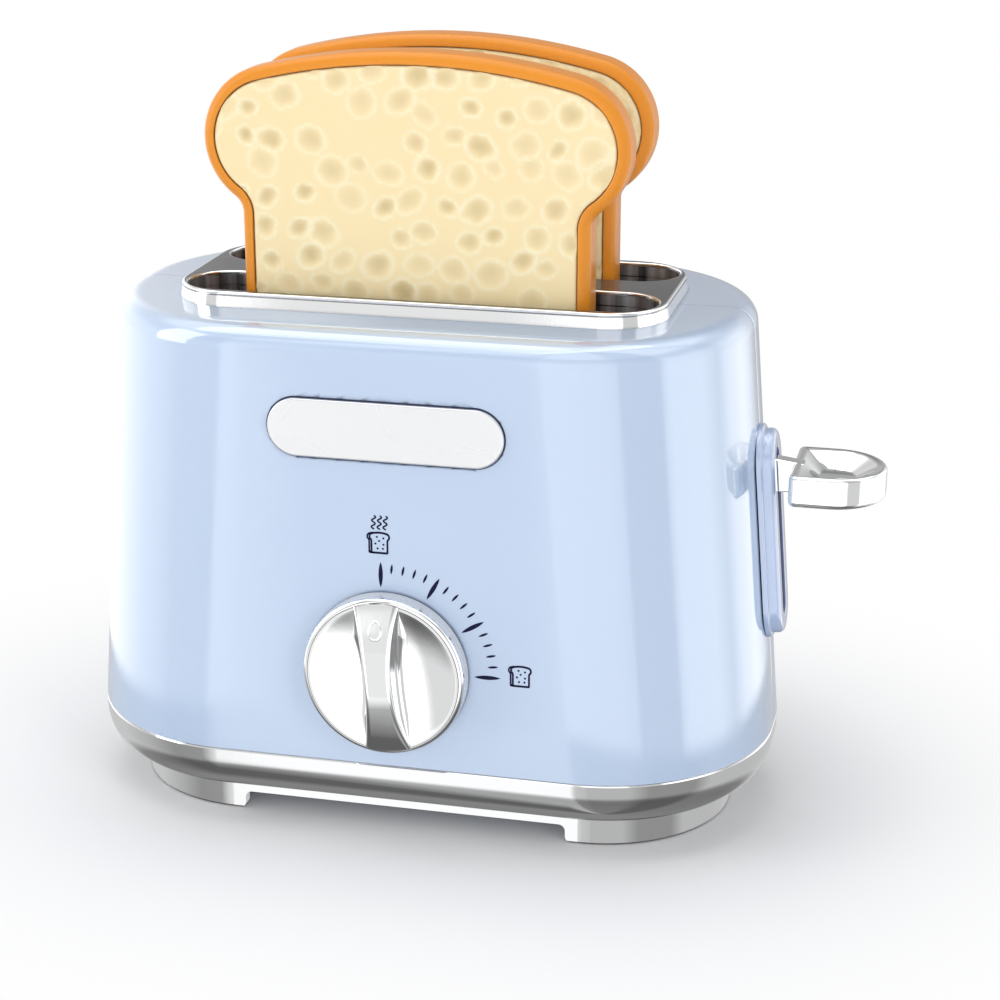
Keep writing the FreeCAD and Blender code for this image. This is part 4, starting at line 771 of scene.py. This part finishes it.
def build_bezel():
    centre_z = (BEZEL_BOTTOM + BEZEL_TOP) / 2
    half_z = (BEZEL_TOP - BEZEL_BOTTOM) / 2

    def outer(grow):
        return stadium(BEZEL_HALF_Y + grow, half_z + grow, (0, centre_z))

    rows = [(outer(BEZEL_FLANGE), 0.0)]
    for down, across in quarter_round(4):
        rows.append((outer(BEZEL_FLANGE - BEZEL_ROUND * across), BEZEL_FLANGE_PROUD - BEZEL_ROUND * down))
    rows += [(outer(0.15), BEZEL_FLANGE_PROUD), (outer(0.0), BEZEL_FLANGE_PROUD + 0.15)]
    rows += [(outer(-BEZEL_EDGE * across), BEZEL_PROUD - BEZEL_EDGE * down) for down, across in quarter_round(8)]
    for down, across in quarter_round(5):
        rows.append((lever_slot(BEZEL_ROUND * down), BEZEL_PROUD - BEZEL_ROUND * across))
    rows += [(lever_slot(0.0), -WALL), (lever_slot(1.0), -WALL), (lever_slot(1.0), 0.0)]
    bm = bmesh.new()
    rings(bm, [wall_place(outline, proud, centre_z) for outline, proud in rows], True)
    piece = finish(bm, "slot_bezel_skin", 50)
    dress(piece, BEZEL_SHADED_BLUE, "casing", "body_blue", "slot_bezel")
    # The slot's inner walls, and the slot side of its rounded edge, get the dark painted shade.
    piece.data.materials.append(PAINTED_SHADE_BLUE)
    for polygon in piece.data.polygons:
        middle = polygon.center / MM + ORIGIN
        if abs(middle.y) < LEVER_SLOT_HALF + 0.24 and SLOT_BOTTOM - 0.3 < middle.z < SLOT_TOP + 0.3:
            if middle.x < half_width(middle.z) + BEZEL_PROUD - 0.05:
                polygon.material_index = 1


# Lever

def paddle_outline(inset):
    """Half a circle at the outer end, a straight inner side with small corners."""
    arc_x = PADDLE_END - PADDLE_HALF_Y
    half = PADDLE_HALF_Y - inset
    start = PADDLE_START + inset
    corner = max(PADDLE_ROUND - inset, 0.25)
    points = arc((arc_x, 0), half, -90, 90, 48)
    points += between(points[-1], (start + corner, half), 8)
    points += arc((start + corner, half - corner), corner, 90, 180, 6)
    points += between((start, half - corner), (start, corner - half), 12)
    points += arc((start + corner, corner - half), corner, 180, 270, 6)
    return points + between(points[-1], points[0], 8)


def build_lever():
    rows = [(PADDLE_BOTTOM + PADDLE_ROUND * down, PADDLE_ROUND * across) for down, across in quarter_round(6)]
    rows.reverse()
    rows += [(PADDLE_TOP - PADDLE_TOP_ROUND * down, PADDLE_TOP_ROUND * across) for down, across in quarter_round(5)]
    rows.append((PADDLE_TOP - 0.1, DISH_RIM))
    centre = (PADDLE_END - PADDLE_HALF_Y + 0.6, 0.0)
    rim = paddle_outline(DISH_RIM)
    bm = bmesh.new()
    places = [[(a, b, z) for a, b in paddle_outline(inset)] for z, inset in rows]
    for share in (0.12, 0.5, 0.88, 1.0):
        ring = []
        for a, b in rim:
            away = Vector((a - centre[0], b - centre[1]))
            floor = Vector(centre) + away.normalized() * DISH_FLOOR
            point = Vector((a, b)).lerp(floor, share)
            ring.append((point.x, point.y, PADDLE_TOP - 0.1 - DISH_DEPTH * share))
        places.append(ring)
    made = rings(bm, places, False)
    cap(bm, [made[0]])
    cap(bm, [made[-1]])
    paddle = finish(bm, "lever_paddle", 30)

    side = [
        (STEM_INNER_END, STEM_BOTTOM + 1.0),
        (PADDLE_START + 0.6, PADDLE_BOTTOM + 0.4),
        (PADDLE_START + 1.2, PADDLE_BOTTOM + 1.2),
        (PADDLE_START + 1.3, PADDLE_TOP - 0.9),
        (PADDLE_START + 2.0, PADDLE_TOP - 0.15),
        (PADDLE_START - 3.0, STEM_TOP - 0.45),
        (STEM_INNER_END, STEM_TOP),
    ]
    middle = Vector((sum(a for a, _ in side) / len(side), sum(b for _, b in side) / len(side)))

    def stem_outline(inset):
        return [tuple(Vector(p) + (middle - Vector(p)).normalized() * inset) for p in side]

    stem = plate("lever_stem", [stem_outline], box_rows(-STEM_HALF, STEM_HALF, 0.5), "y", 30)
    dress(paddle, CHROME, "carriage", "chrome", "lever")
    dress(stem, CHROME, "carriage", "chrome")


# Dial

def build_knob():
    dish_radius = KNOB_RADIUS - KNOB_RIM
    profile = [(KNOB_BACK, 0.001), (KNOB_BACK, KNOB_RADIUS - 0.3), (KNOB_BACK - 0.3, KNOB_RADIUS)]
    for down, across in quarter_round(8):
        profile.append((KNOB_DISC_FRONT + KNOB_ROUND * down, KNOB_RADIUS - KNOB_ROUND * across))
    profile += [(KNOB_DISC_FRONT + depth, radius) for depth, radius in KNOB_GROOVE]
    profile.append((KNOB_DISC_FRONT, dish_radius + 0.08))
    for i in range(21):
        radius = dish_radius * (1 - i / 20) + 0.001
        profile.append((KNOB_DISC_FRONT + dish_depth(radius), radius))
    bm = bmesh.new()
    rows = [[(a, y, b) for a, b in circle(radius, (0, DIAL_Z), 128)] for y, radius in profile]
    made = rings(bm, rows, False)
    cap(bm, [made[0]])
    cap(bm, [made[-1]])
    knob = finish(bm, "knob_skin", 30)
    dress(knob, CHROME, "dial", "chrome", "knob")
    # The side wall gets the pale painted reflection.
    knob.data.materials.append(DIAL_EDGE_PAINTED_REFLECTION)
    limit = (KNOB_BACK - 0.2 - ORIGIN.y) * MM, (KNOB_DISC_FRONT + 0.9 - ORIGIN.y) * MM
    for polygon in knob.data.polygons:
        if abs(polygon.normal.y) < 0.4 and limit[1] < polygon.center.y < limit[0]:
            polygon.material_index = 1
    dress(knob_grip(), CHROME, "dial", "chrome")
    dress(knob_mark(), CHROME, "dial", "chrome")


def dish_depth(radius):
    """How far the dial's dished face lies behind its rim, at a distance from the axis."""
    dish_radius = KNOB_RADIUS - KNOB_RIM
    ball = (dish_radius ** 2 + KNOB_DISH_DEPTH ** 2) / (2 * KNOB_DISH_DEPTH)
    if radius >= dish_radius:
        return 0.0
    return math.sqrt(ball ** 2 - radius ** 2) - (ball - KNOB_DISH_DEPTH)


def grip_face(up):
    """How far forward the grip's bowed face is, at a distance from the dial's axis."""
    bow = KNOB_DISC_FRONT - KNOB_FRONT
    radius = (GRIP_RADIUS ** 2 + bow ** 2) / (2 * bow)
    return KNOB_FRONT + radius - math.sqrt(radius ** 2 - min(up ** 2, radius ** 2))


def grip_turned(a, b):
    """A point of the upright grip, leaned a little to the left about the dial's axis."""
    lean = math.radians(GRIP_TILT)
    return (a * math.cos(lean) - b * math.sin(lean), DIAL_Z + a * math.sin(lean) + b * math.cos(lean))


def knob_grip():
    """The hourglass grip: rows up its length, rounded at the face and flared into the dish."""
    rise = GRIP_END_HALF - GRIP_WAIST_HALF
    bite = (GRIP_RADIUS ** 2 + rise ** 2) / (2 * rise)
    steps = 60
    columns = 12
    rows = []
    for i in range(steps + 1):
        share = 2 * i / steps - 1
        up = GRIP_RADIUS * share
        waist = GRIP_WAIST_HALF + bite - math.sqrt(bite ** 2 - up ** 2)
        side_up = math.sqrt(GRIP_RADIUS ** 2 - GRIP_END_HALF ** 2) * share
        face = grip_face(side_up)
        floor = KNOB_DISC_FRONT + dish_depth(math.hypot(waist, side_up))
        flare = min(GRIP_FLARE, GRIP_FLARE_SHARE * max(floor - face, 0.0)) * (1 - abs(share) ** 6)
        flank = [(-GRIP_EDGE * across, face + GRIP_EDGE * down) for down, across in reversed(quarter_round(4))]
        for down, across in quarter_round(12):
            out = flare * across
            sink = KNOB_DISC_FRONT + dish_depth(math.hypot(waist + out, side_up))
            flank.append((out, sink + 0.006 - flare * down))
        flank.append((flank[-1][0], flank[-1][1] + 0.5))
        row = [(-waist - out, side_up, depth) for out, depth in reversed(flank)]
        for j in range(1, columns):
            side = 2 * j / columns - 1
            end_up = math.sqrt(GRIP_RADIUS ** 2 - (GRIP_END_HALF * side) ** 2) * share
            row.append(((waist - GRIP_EDGE) * side, end_up, grip_face(end_up)))
        row += [(waist + out, side_up, depth) for out, depth in flank]
        rows.append([grip_turned(a, b)[:1] + (depth,) + grip_turned(a, b)[1:] for a, b, depth in row])
    bm = bmesh.new()
    made = rings(bm, rows, False)
    for row in (made[0], made[-1]):
        bm.faces.new(row)
    return finish(bm, "grip", 30)


def knob_mark():
    """A raised drop near the grip's top end, as a thin closed bead on its bowed face."""
    bm = bmesh.new()
    rows = []
    for i in range(48):
        turn = 2 * math.pi * i / 48
        drop = 1.0 + (0.42 * math.sin(turn) ** 3 if math.sin(turn) > 0 else 0.0)
        centre = (MARK_RADIUS * 0.86 * math.cos(turn), MARK_UP + MARK_RADIUS * drop * math.sin(turn))
        ring = []
        for k in range(8):
            bead = 2 * math.pi * k / 8
            grow = MARK_WIRE * math.cos(bead)
            a, b = centre[0] + grow * math.cos(turn), centre[1] + grow * math.sin(turn)
            place = grip_turned(a, b)
            ring.append((place[0], grip_face(b) + 0.03 - MARK_WIRE * 0.7 * math.sin(bead), place[1]))
        rows.append(ring)
    rings(bm, rows, True)
    return finish(bm, "grip_mark", 60)


# Printed scale and icons on the front

def stroke(bm, outline):
    back = -HALF_DEPTH + 0.01
    build_up(bm, [lambda inset: outline], [(back, 0), (-HALF_DEPTH - PRINT_PROUD, 0)], "y")


def needle(centre, angle, reach, half):
    """A stroke pointed at both ends, turned clockwise from upright about its middle."""
    turn = math.radians(angle)
    along = Vector((math.sin(turn), math.cos(turn)))
    across = Vector((along.y, -along.x))
    shape = []
    for side in (1, -1):
        for i in range(8):
            share = i / 8 if side > 0 else 1 - i / 8
            width = half * math.sin(math.pi * share) ** 0.7 if 0 < share < 1 else 0.0
            shape.append(tuple(centre + along * reach * (2 * share - 1) + across * width * side))
    return shape


def ribbon(points, half):
    """A flat line of constant width along the points."""
    left, right = [], []
    for i, point in enumerate(points):
        before = Vector(points[max(i - 1, 0)])
        after = Vector(points[min(i + 1, len(points) - 1)])
        along = (after - before).normalized()
        side = Vector((-along.y, along.x)) * half
        left.append(tuple(Vector(point) + side))
        right.append(tuple(Vector(point) - side))
    return left + right[::-1]


def slice_icon(bm, x, z):
    """A small slice of bread in outline, with its left side and crumb dots."""
    low, high = SLICE_BOTTOM + CRUST, SLICE_TOP - CRUST
    scale = 2 * ICON_HALF * 0.92 / (high - low)

    def outline(grow):
        return [
            (x + 0.25 + a * scale * 0.86, z + (b - (low + high) / 2) * scale)
            for a, b in slice_outline(grow / scale)[::3]
        ]

    place = place_flat("y")
    back, front = -HALF_DEPTH + 0.01, -HALF_DEPTH - PRINT_PROUD
    line = 0.20
    profile = [(back, line), (front, line), (front, -line), (back, -line)]
    rings(bm, [[place(a, b, h) for a, b in outline(grow)] for h, grow in profile], True)
    edge = [p for p in outline(0.0) if p[0] < x - 0.4]
    edge.sort(key=lambda p: p[1])
    stroke(bm, ribbon([(a - 0.42, b) for a, b in edge], 0.16))
    for dx, dz in ICON_DOTS:
        stroke(bm, circle(0.20, (x + 0.1 + dx, z + dz), 10))


def steam_lines(bm, x, z):
    for offset in (-1.1, 0.0, 1.1):
        points = []
        for i in range(25):
            share = i / 24
            wave = 0.35 * math.sin(share * 4.2 * math.pi)
            points.append((x + offset + wave + 0.5 * (0.5 - share) * 0.4, z + 2.6 * (0.5 - share)))
        stroke(bm, ribbon(points, 0.15))


def build_scale():
    bm = bmesh.new()
    for step in range(SCALE_STEPS + 1):
        long_stroke = step % SCALE_LONG_EVERY == 0
        share = step / SCALE_STEPS
        place = math.radians(SCALE_START + SCALE_SWEEP * share)
        middle = LONG_MIDDLE if long_stroke else SHORT_MIDDLE
        centre = SCALE_CENTRE + Vector((math.sin(place), math.cos(place))) * middle
        angle = STROKE_START + STROKE_SWEEP * share
        if long_stroke:
            stroke(bm, needle(centre, angle, LONG_HALF, 0.40))
        else:
            stroke(bm, needle(centre, angle, SHORT_HALF, 0.22))
    dress(finish(bm, "dial_scale"), INK, "casing", "body_blue")
    bm = bmesh.new()
    for x, z in ICON_PLACES:
        slice_icon(bm, x, z)
    steam_lines(bm, *STEAM_PLACE)
    dress(finish(bm, "dial_icons"), INK, "casing", "body_blue")


# Slices

def crust_profile():
    """Across the crust, as (depth, grow): rounded outside, a step inside for each crumb panel."""
    profile = [(-SLICE_HALF + CRUST_ROUND * across, CRUST - CRUST_ROUND * down) for down, across in quarter_round(8)]
    profile += [(-d, g) for d, g in reversed(profile)]
    lip = 0.25
    seat = SLICE_HALF - CRUMB_THICKNESS
    inside = [(SLICE_HALF, lip), (SLICE_HALF - lip, 0.0), (seat, 0.0), (seat, -1.6)]
    return profile + inside + [(-d, g) for d, g in reversed(inside)]


def scatter_pores(seed):
    """Oval hollows spread evenly but unevenly deep: x, z, half length, half width, turn and depth."""
    rng = random.Random(seed)
    pores = []
    low, high = SLICE_BOTTOM, SLICE_TOP
    rows = int((high - low) / (PORE_SPACING * 0.87))
    columns = int(EAR_HALF / PORE_SPACING) + 1
    for row in range(rows + 1):
        for column in range(-columns, columns + 1):
            x = (column + 0.5 * (row % 2)) * PORE_SPACING + rng.uniform(-1.5, 1.5)
            z = low + row * PORE_SPACING * 0.87 + rng.uniform(-1.4, 1.4)
            size = rng.uniform(1.75, 2.95)
            narrow = rng.uniform(0.70, 1.0)
            kind = rng.random()
            turn = rng.uniform(-0.9, 0.9)
            if kind < 0.08:
                continue
            strength = rng.uniform(0.75, 1.0) if kind < 0.42 else rng.uniform(0.30, 0.62)
            if all(math.hypot(x - p[0], z - p[1]) > 0.84 * (size * narrow + p[3]) for p in pores):
                pores.append((x, z, size, size * narrow, turn, strength))
    return pores


def pore_shape(x, z, pores):
    """How deep the crumb is at a point, and how near it is to a pore's lip."""
    depth, lip = 0.0, 0.0
    for px, pz, long_half, short_half, turn, strength in pores:
        dx, dz = x - px, z - pz
        if abs(dx) > 1.5 * long_half or abs(dz) > 1.5 * long_half:
            continue
        a = dx * math.cos(turn) + dz * math.sin(turn)
        b = -dx * math.sin(turn) + dz * math.cos(turn)
        wobble = 0.16 * noise.noise(Vector((x * 0.7, z * 0.7, px)))
        away = math.hypot(a / long_half, b / short_half) + wobble
        if away < 1.0:
            depth = max(depth, strength * (1 - away ** 2) ** 1.25)
        lip = max(lip, math.exp(-((away - 1.10) / 0.12) ** 2) * (0.65 + 0.35 * strength))
    return depth, lip


def crumb_panel(name, y, side, seed):
    """A slice's pored face: a fine mesh inside a rounded edge, with a wall and a flat back."""
    outline = slice_outline(-0.12)
    pores = scatter_pores(seed)
    points = [Vector(p) for p in slice_outline(-0.5)]
    count = len(points)
    border = [(i, (i + 1) % count) for i in range(count)]
    low, high = SLICE_BOTTOM + CRUST, SLICE_TOP - CRUST
    rows = int((high - low) / (CRUMB_STEP * 0.866))
    columns = int(2 * EAR_HALF / CRUMB_STEP)
    limit = [Vector(p) for p in slice_outline(-0.95)]
    for row in range(rows + 1):
        z = low + row * CRUMB_STEP * 0.866
        crossings = []
        for a, b in zip(limit, limit[1:] + limit[:1]):
            if (a.y > z) != (b.y > z):
                crossings.append(a.x + (z - a.y) / (b.y - a.y) * (b.x - a.x))
        crossings.sort()
        for left, right in zip(crossings[::2], crossings[1::2]):
            for column in range(columns + 1):
                x = -EAR_HALF + (column + 0.5 * (row % 2)) * CRUMB_STEP
                if left < x < right:
                    points.append(Vector((x, z)))
    verts, _, faces, _, _, _ = geometry.delaunay_2d_cdt(points, border, [list(range(count))], 1, 1e-4)
    face_y = y + side * SLICE_HALF
    bm = bmesh.new()
    pore_layer = bm.verts.layers.float.new("pore")
    lip_layer = bm.verts.layers.float.new("lip")
    made = []
    for point in verts:
        depth, lip = pore_shape(point.x, point.y, pores)
        vert = bm.verts.new((point.x, face_y - side * (depth * PORE_DEPTH - lip * 0.07 + 0.07), point.y))
        vert[pore_layer] = depth
        vert[lip_layer] = lip
        made.append(vert)
    for face in faces:
        bm.faces.new([made[i] for i in face])
    rim = [bm.verts.new((a, face_y - side * 0.35, b)) for a, b in outline]
    back = [bm.verts.new((a, y + side * (SLICE_HALF - CRUMB_THICKNESS), b)) for a, b in outline]
    for upper, lower in ((made, rim), (rim, back)):
        for i in range(count):
            j = (i + 1) % count
            bm.faces.new((upper[i], upper[j], lower[j], lower[i]))
    cap(bm, [back])
    return finish(bm, name, 60)


def build_slices():
    for name, y, seed in (("front", -SLOT_CENTRE, 7), ("rear", SLOT_CENTRE, 23)):
        body = f"{name}_slice"
        profile = [(y + depth, grow) for depth, grow in crust_profile()]
        crust = swept(f"{body}_crust_skin", slice_outline, profile, "y", 50)
        dress(crust, ORANGE, body, "crust", f"{body}_crust")
        for face, side in (("front", -1), ("back", 1)):
            panel = crumb_panel(f"{body}_crumb_{face}_skin", y, side, seed + side)
            dress(panel, CRUMB, body, "crumb", f"{body}_crumb_{face}")


# Floor, lights and camera

def ramp(tree, source, stops, soft=False, brightest=1.0):
    """A grey ramp through (position, brightness) stops, as shares of the brightest."""
    made = node(tree, "ValToRGB", {"Fac": source})
    made.color_ramp.interpolation = "B_SPLINE" if soft else "LINEAR"
    elements = made.color_ramp.elements
    while len(elements) < len(stops):
        elements.new(0.5)
    for element, (position, value) in zip(elements, stops):
        element.position = position
        element.color = (value / brightest, value / brightest, value / brightest, 1)
    return made.outputs["Color"]


def choose(tree, ray, first, second):
    """The second shader where the ray's kind, or a factor, says so, and else the first."""
    if isinstance(ray, str):
        ray = node(tree, "LightPath").outputs[ray]
    return node(tree, "MixShader", {0: ray, 1: first, 2: second}).outputs["Shader"]


def glow(tree, kind, colour, strength=1.0):
    """An Emission or a Background."""
    return node(tree, kind, {"Color": colour, "Strength": strength}).outputs[kind]


def vector_step(tree, operation, source, value=None):
    inputs = {0: source} if value is None else {0: source, 1: value}
    made = node(tree, "VectorMath", inputs, operation=operation)
    return made.outputs["Value" if operation == "LENGTH" else "Vector"]


def ray_direction(tree):
    """Which way the ray goes: its share of the way round from the front by the left, and its rise."""
    seen = node(tree, "NewGeometry").outputs["Incoming"]
    parts = node(tree, "SeparateXYZ", {0: vector_step(tree, "MULTIPLY", seen, (-1.0, -1.0, -1.0))}).outputs
    turn = node(tree, "Math", {0: parts["X"], 1: parts["Y"]}, operation="ARCTAN2").outputs["Value"]
    return stretch(tree, turn, -math.pi, math.pi), parts["Z"]


def build_stage():
    """A pale floor that fades to white, with the studio's bands where the chrome reflects it."""
    size = 6.0
    mesh = bpy.data.meshes.new("floor")
    mesh.from_pydata([(-size, -size, 0), (size, -size, 0), (size, size, 0), (-size, size, 0)], [], [(0, 1, 2, 3)])
    floor = placed("floor", mesh)
    material, tree, shader = new_material("floor_pale")
    feed(tree, shader, {"Base Color": (0.90, 0.90, 0.905, 1), "Roughness": 0.6, "Specular IOR Level": 0.1})
    pale = shader.outputs["BSDF"]
    corner = ((HALF_WIDTH_BOTTOM - CORNER) * MM, (HALF_DEPTH - CORNER) * MM, 0.0)
    place = vector_step(tree, "ADD", node(tree, "TexCoord").outputs["Object"], tuple(ORIGIN * MM))
    place = vector_step(tree, "SUBTRACT", vector_step(tree, "ABSOLUTE", place), corner)
    away = vector_step(tree, "LENGTH", vector_step(tree, "MAXIMUM", place, (0.0, 0.0, 0.0)))
    low, high = FLOOR_STRETCH
    share = stretch(tree, away, CORNER * MM + low, CORNER * MM + high)
    seen = choose(tree, ramp(tree, share, FLOOR_FADE, True), pale, glow(tree, "Emission", WHITE))
    round_share, rise = ray_direction(tree)
    near = ramp(tree, round_share, NEAR_AROUND, False, ROOM_BRIGHTEST)
    far = ramp(tree, round_share, ROOM_AROUND, False, ROOM_BRIGHTEST)
    pattern = blend_colour(tree, stretch(tree, share, *FLOOR_FAR), near, far)
    steep = ramp(tree, stretch(tree, rise, -1.0, 0.0), FLOOR_DOWNWARD)
    mirrored = glow(tree, "Emission", blend_colour(tree, 1.0, pattern, steep, "MULTIPLY"), ROOM_BRIGHTEST)
    whole = choose(tree, "Is Glossy Ray", choose(tree, "Is Camera Ray", pale, seen), mirrored)
    feed(tree, tree.nodes["Material Output"], {"Surface": whole})
    mesh.materials.append(material)


def build_world():
    """White to the camera, soft light on the object, and grey bands for the chrome to reflect."""
    world = bpy.data.worlds.new("studio")
    bpy.context.scene.world = world
    world.use_nodes = True
    tree = world.node_tree
    ambient = feed(tree, tree.nodes["Background"], {"Color": (0.95, 0.97, 1.0, 1), "Strength": AMBIENT})
    round_share, rise = ray_direction(tree)
    around = ramp(tree, round_share, ROOM_AROUND, False, ROOM_BRIGHTEST)
    pattern = blend_colour(tree, 1.0, around, ramp(tree, rise, ROOM_UPWARD), "MULTIPLY")
    mirrored = glow(tree, "Background", pattern, ROOM_BRIGHTEST)
    glossy = choose(tree, "Is Glossy Ray", ambient.outputs["Background"], mirrored)
    whole = choose(tree, "Is Camera Ray", glossy, glow(tree, "Background", WHITE))
    feed(tree, tree.nodes["World Output"], {"Surface": whole})


def softbox(name, place, aim, width, height, watts, shown):
    light = bpy.data.lights.new(name, "AREA")
    light.shape = "RECTANGLE"
    light.size = width
    light.size_y = height
    light.energy = watts
    lamp = placed(name, light)
    lamp.location = place
    lamp.visible_glossy = shown
    lamp.rotation_euler = (Vector(aim) - Vector(place)).to_track_quat("-Z", "Y").to_euler()


def build_lights():
    middle = (0.0, 0.0, 0.07)
    softbox("left_box", (-0.80, -0.35, 0.35), middle, 0.40, 0.90, 2.6, True)
    softbox("right_box", (0.75, -0.65, 0.45), middle, 0.35, 0.90, 2.8, False)
    softbox("top_box", (-0.15, 0.1, 1.0), middle, 1.0, 0.7, 3.3, True)
    softbox("front_box", (-0.1, -1.3, 0.45), middle, 1.0, 0.6, 2.4, False)


def build_camera():
    azimuth, elevation = math.radians(CAMERA_AZIMUTH), math.radians(CAMERA_ELEVATION)
    back = Vector((
        math.sin(azimuth) * math.cos(elevation),
        -math.cos(azimuth) * math.cos(elevation),
        math.sin(elevation),
    ))
    camera = bpy.data.cameras.new("camera")
    camera.lens = CAMERA_LENS
    camera.sensor_width = 36.0
    camera.clip_start = 0.01
    eye = placed("camera", camera)
    eye.location = (CAMERA_TARGET - ORIGIN + back * CAMERA_DISTANCE) * MM
    eye.rotation_euler = (-back).to_track_quat("-Z", "Y").to_euler()
    bpy.context.scene.camera = eye


dress_frame()
build_casing()
build_collar()
build_front_plate()
build_base()
build_bezel()
build_lever()
build_knob()
build_scale()
build_slices()
build_stage()
build_world()
build_lights()
build_camera()
bpy.context.scene.view_settings.view_transform = "Standard"
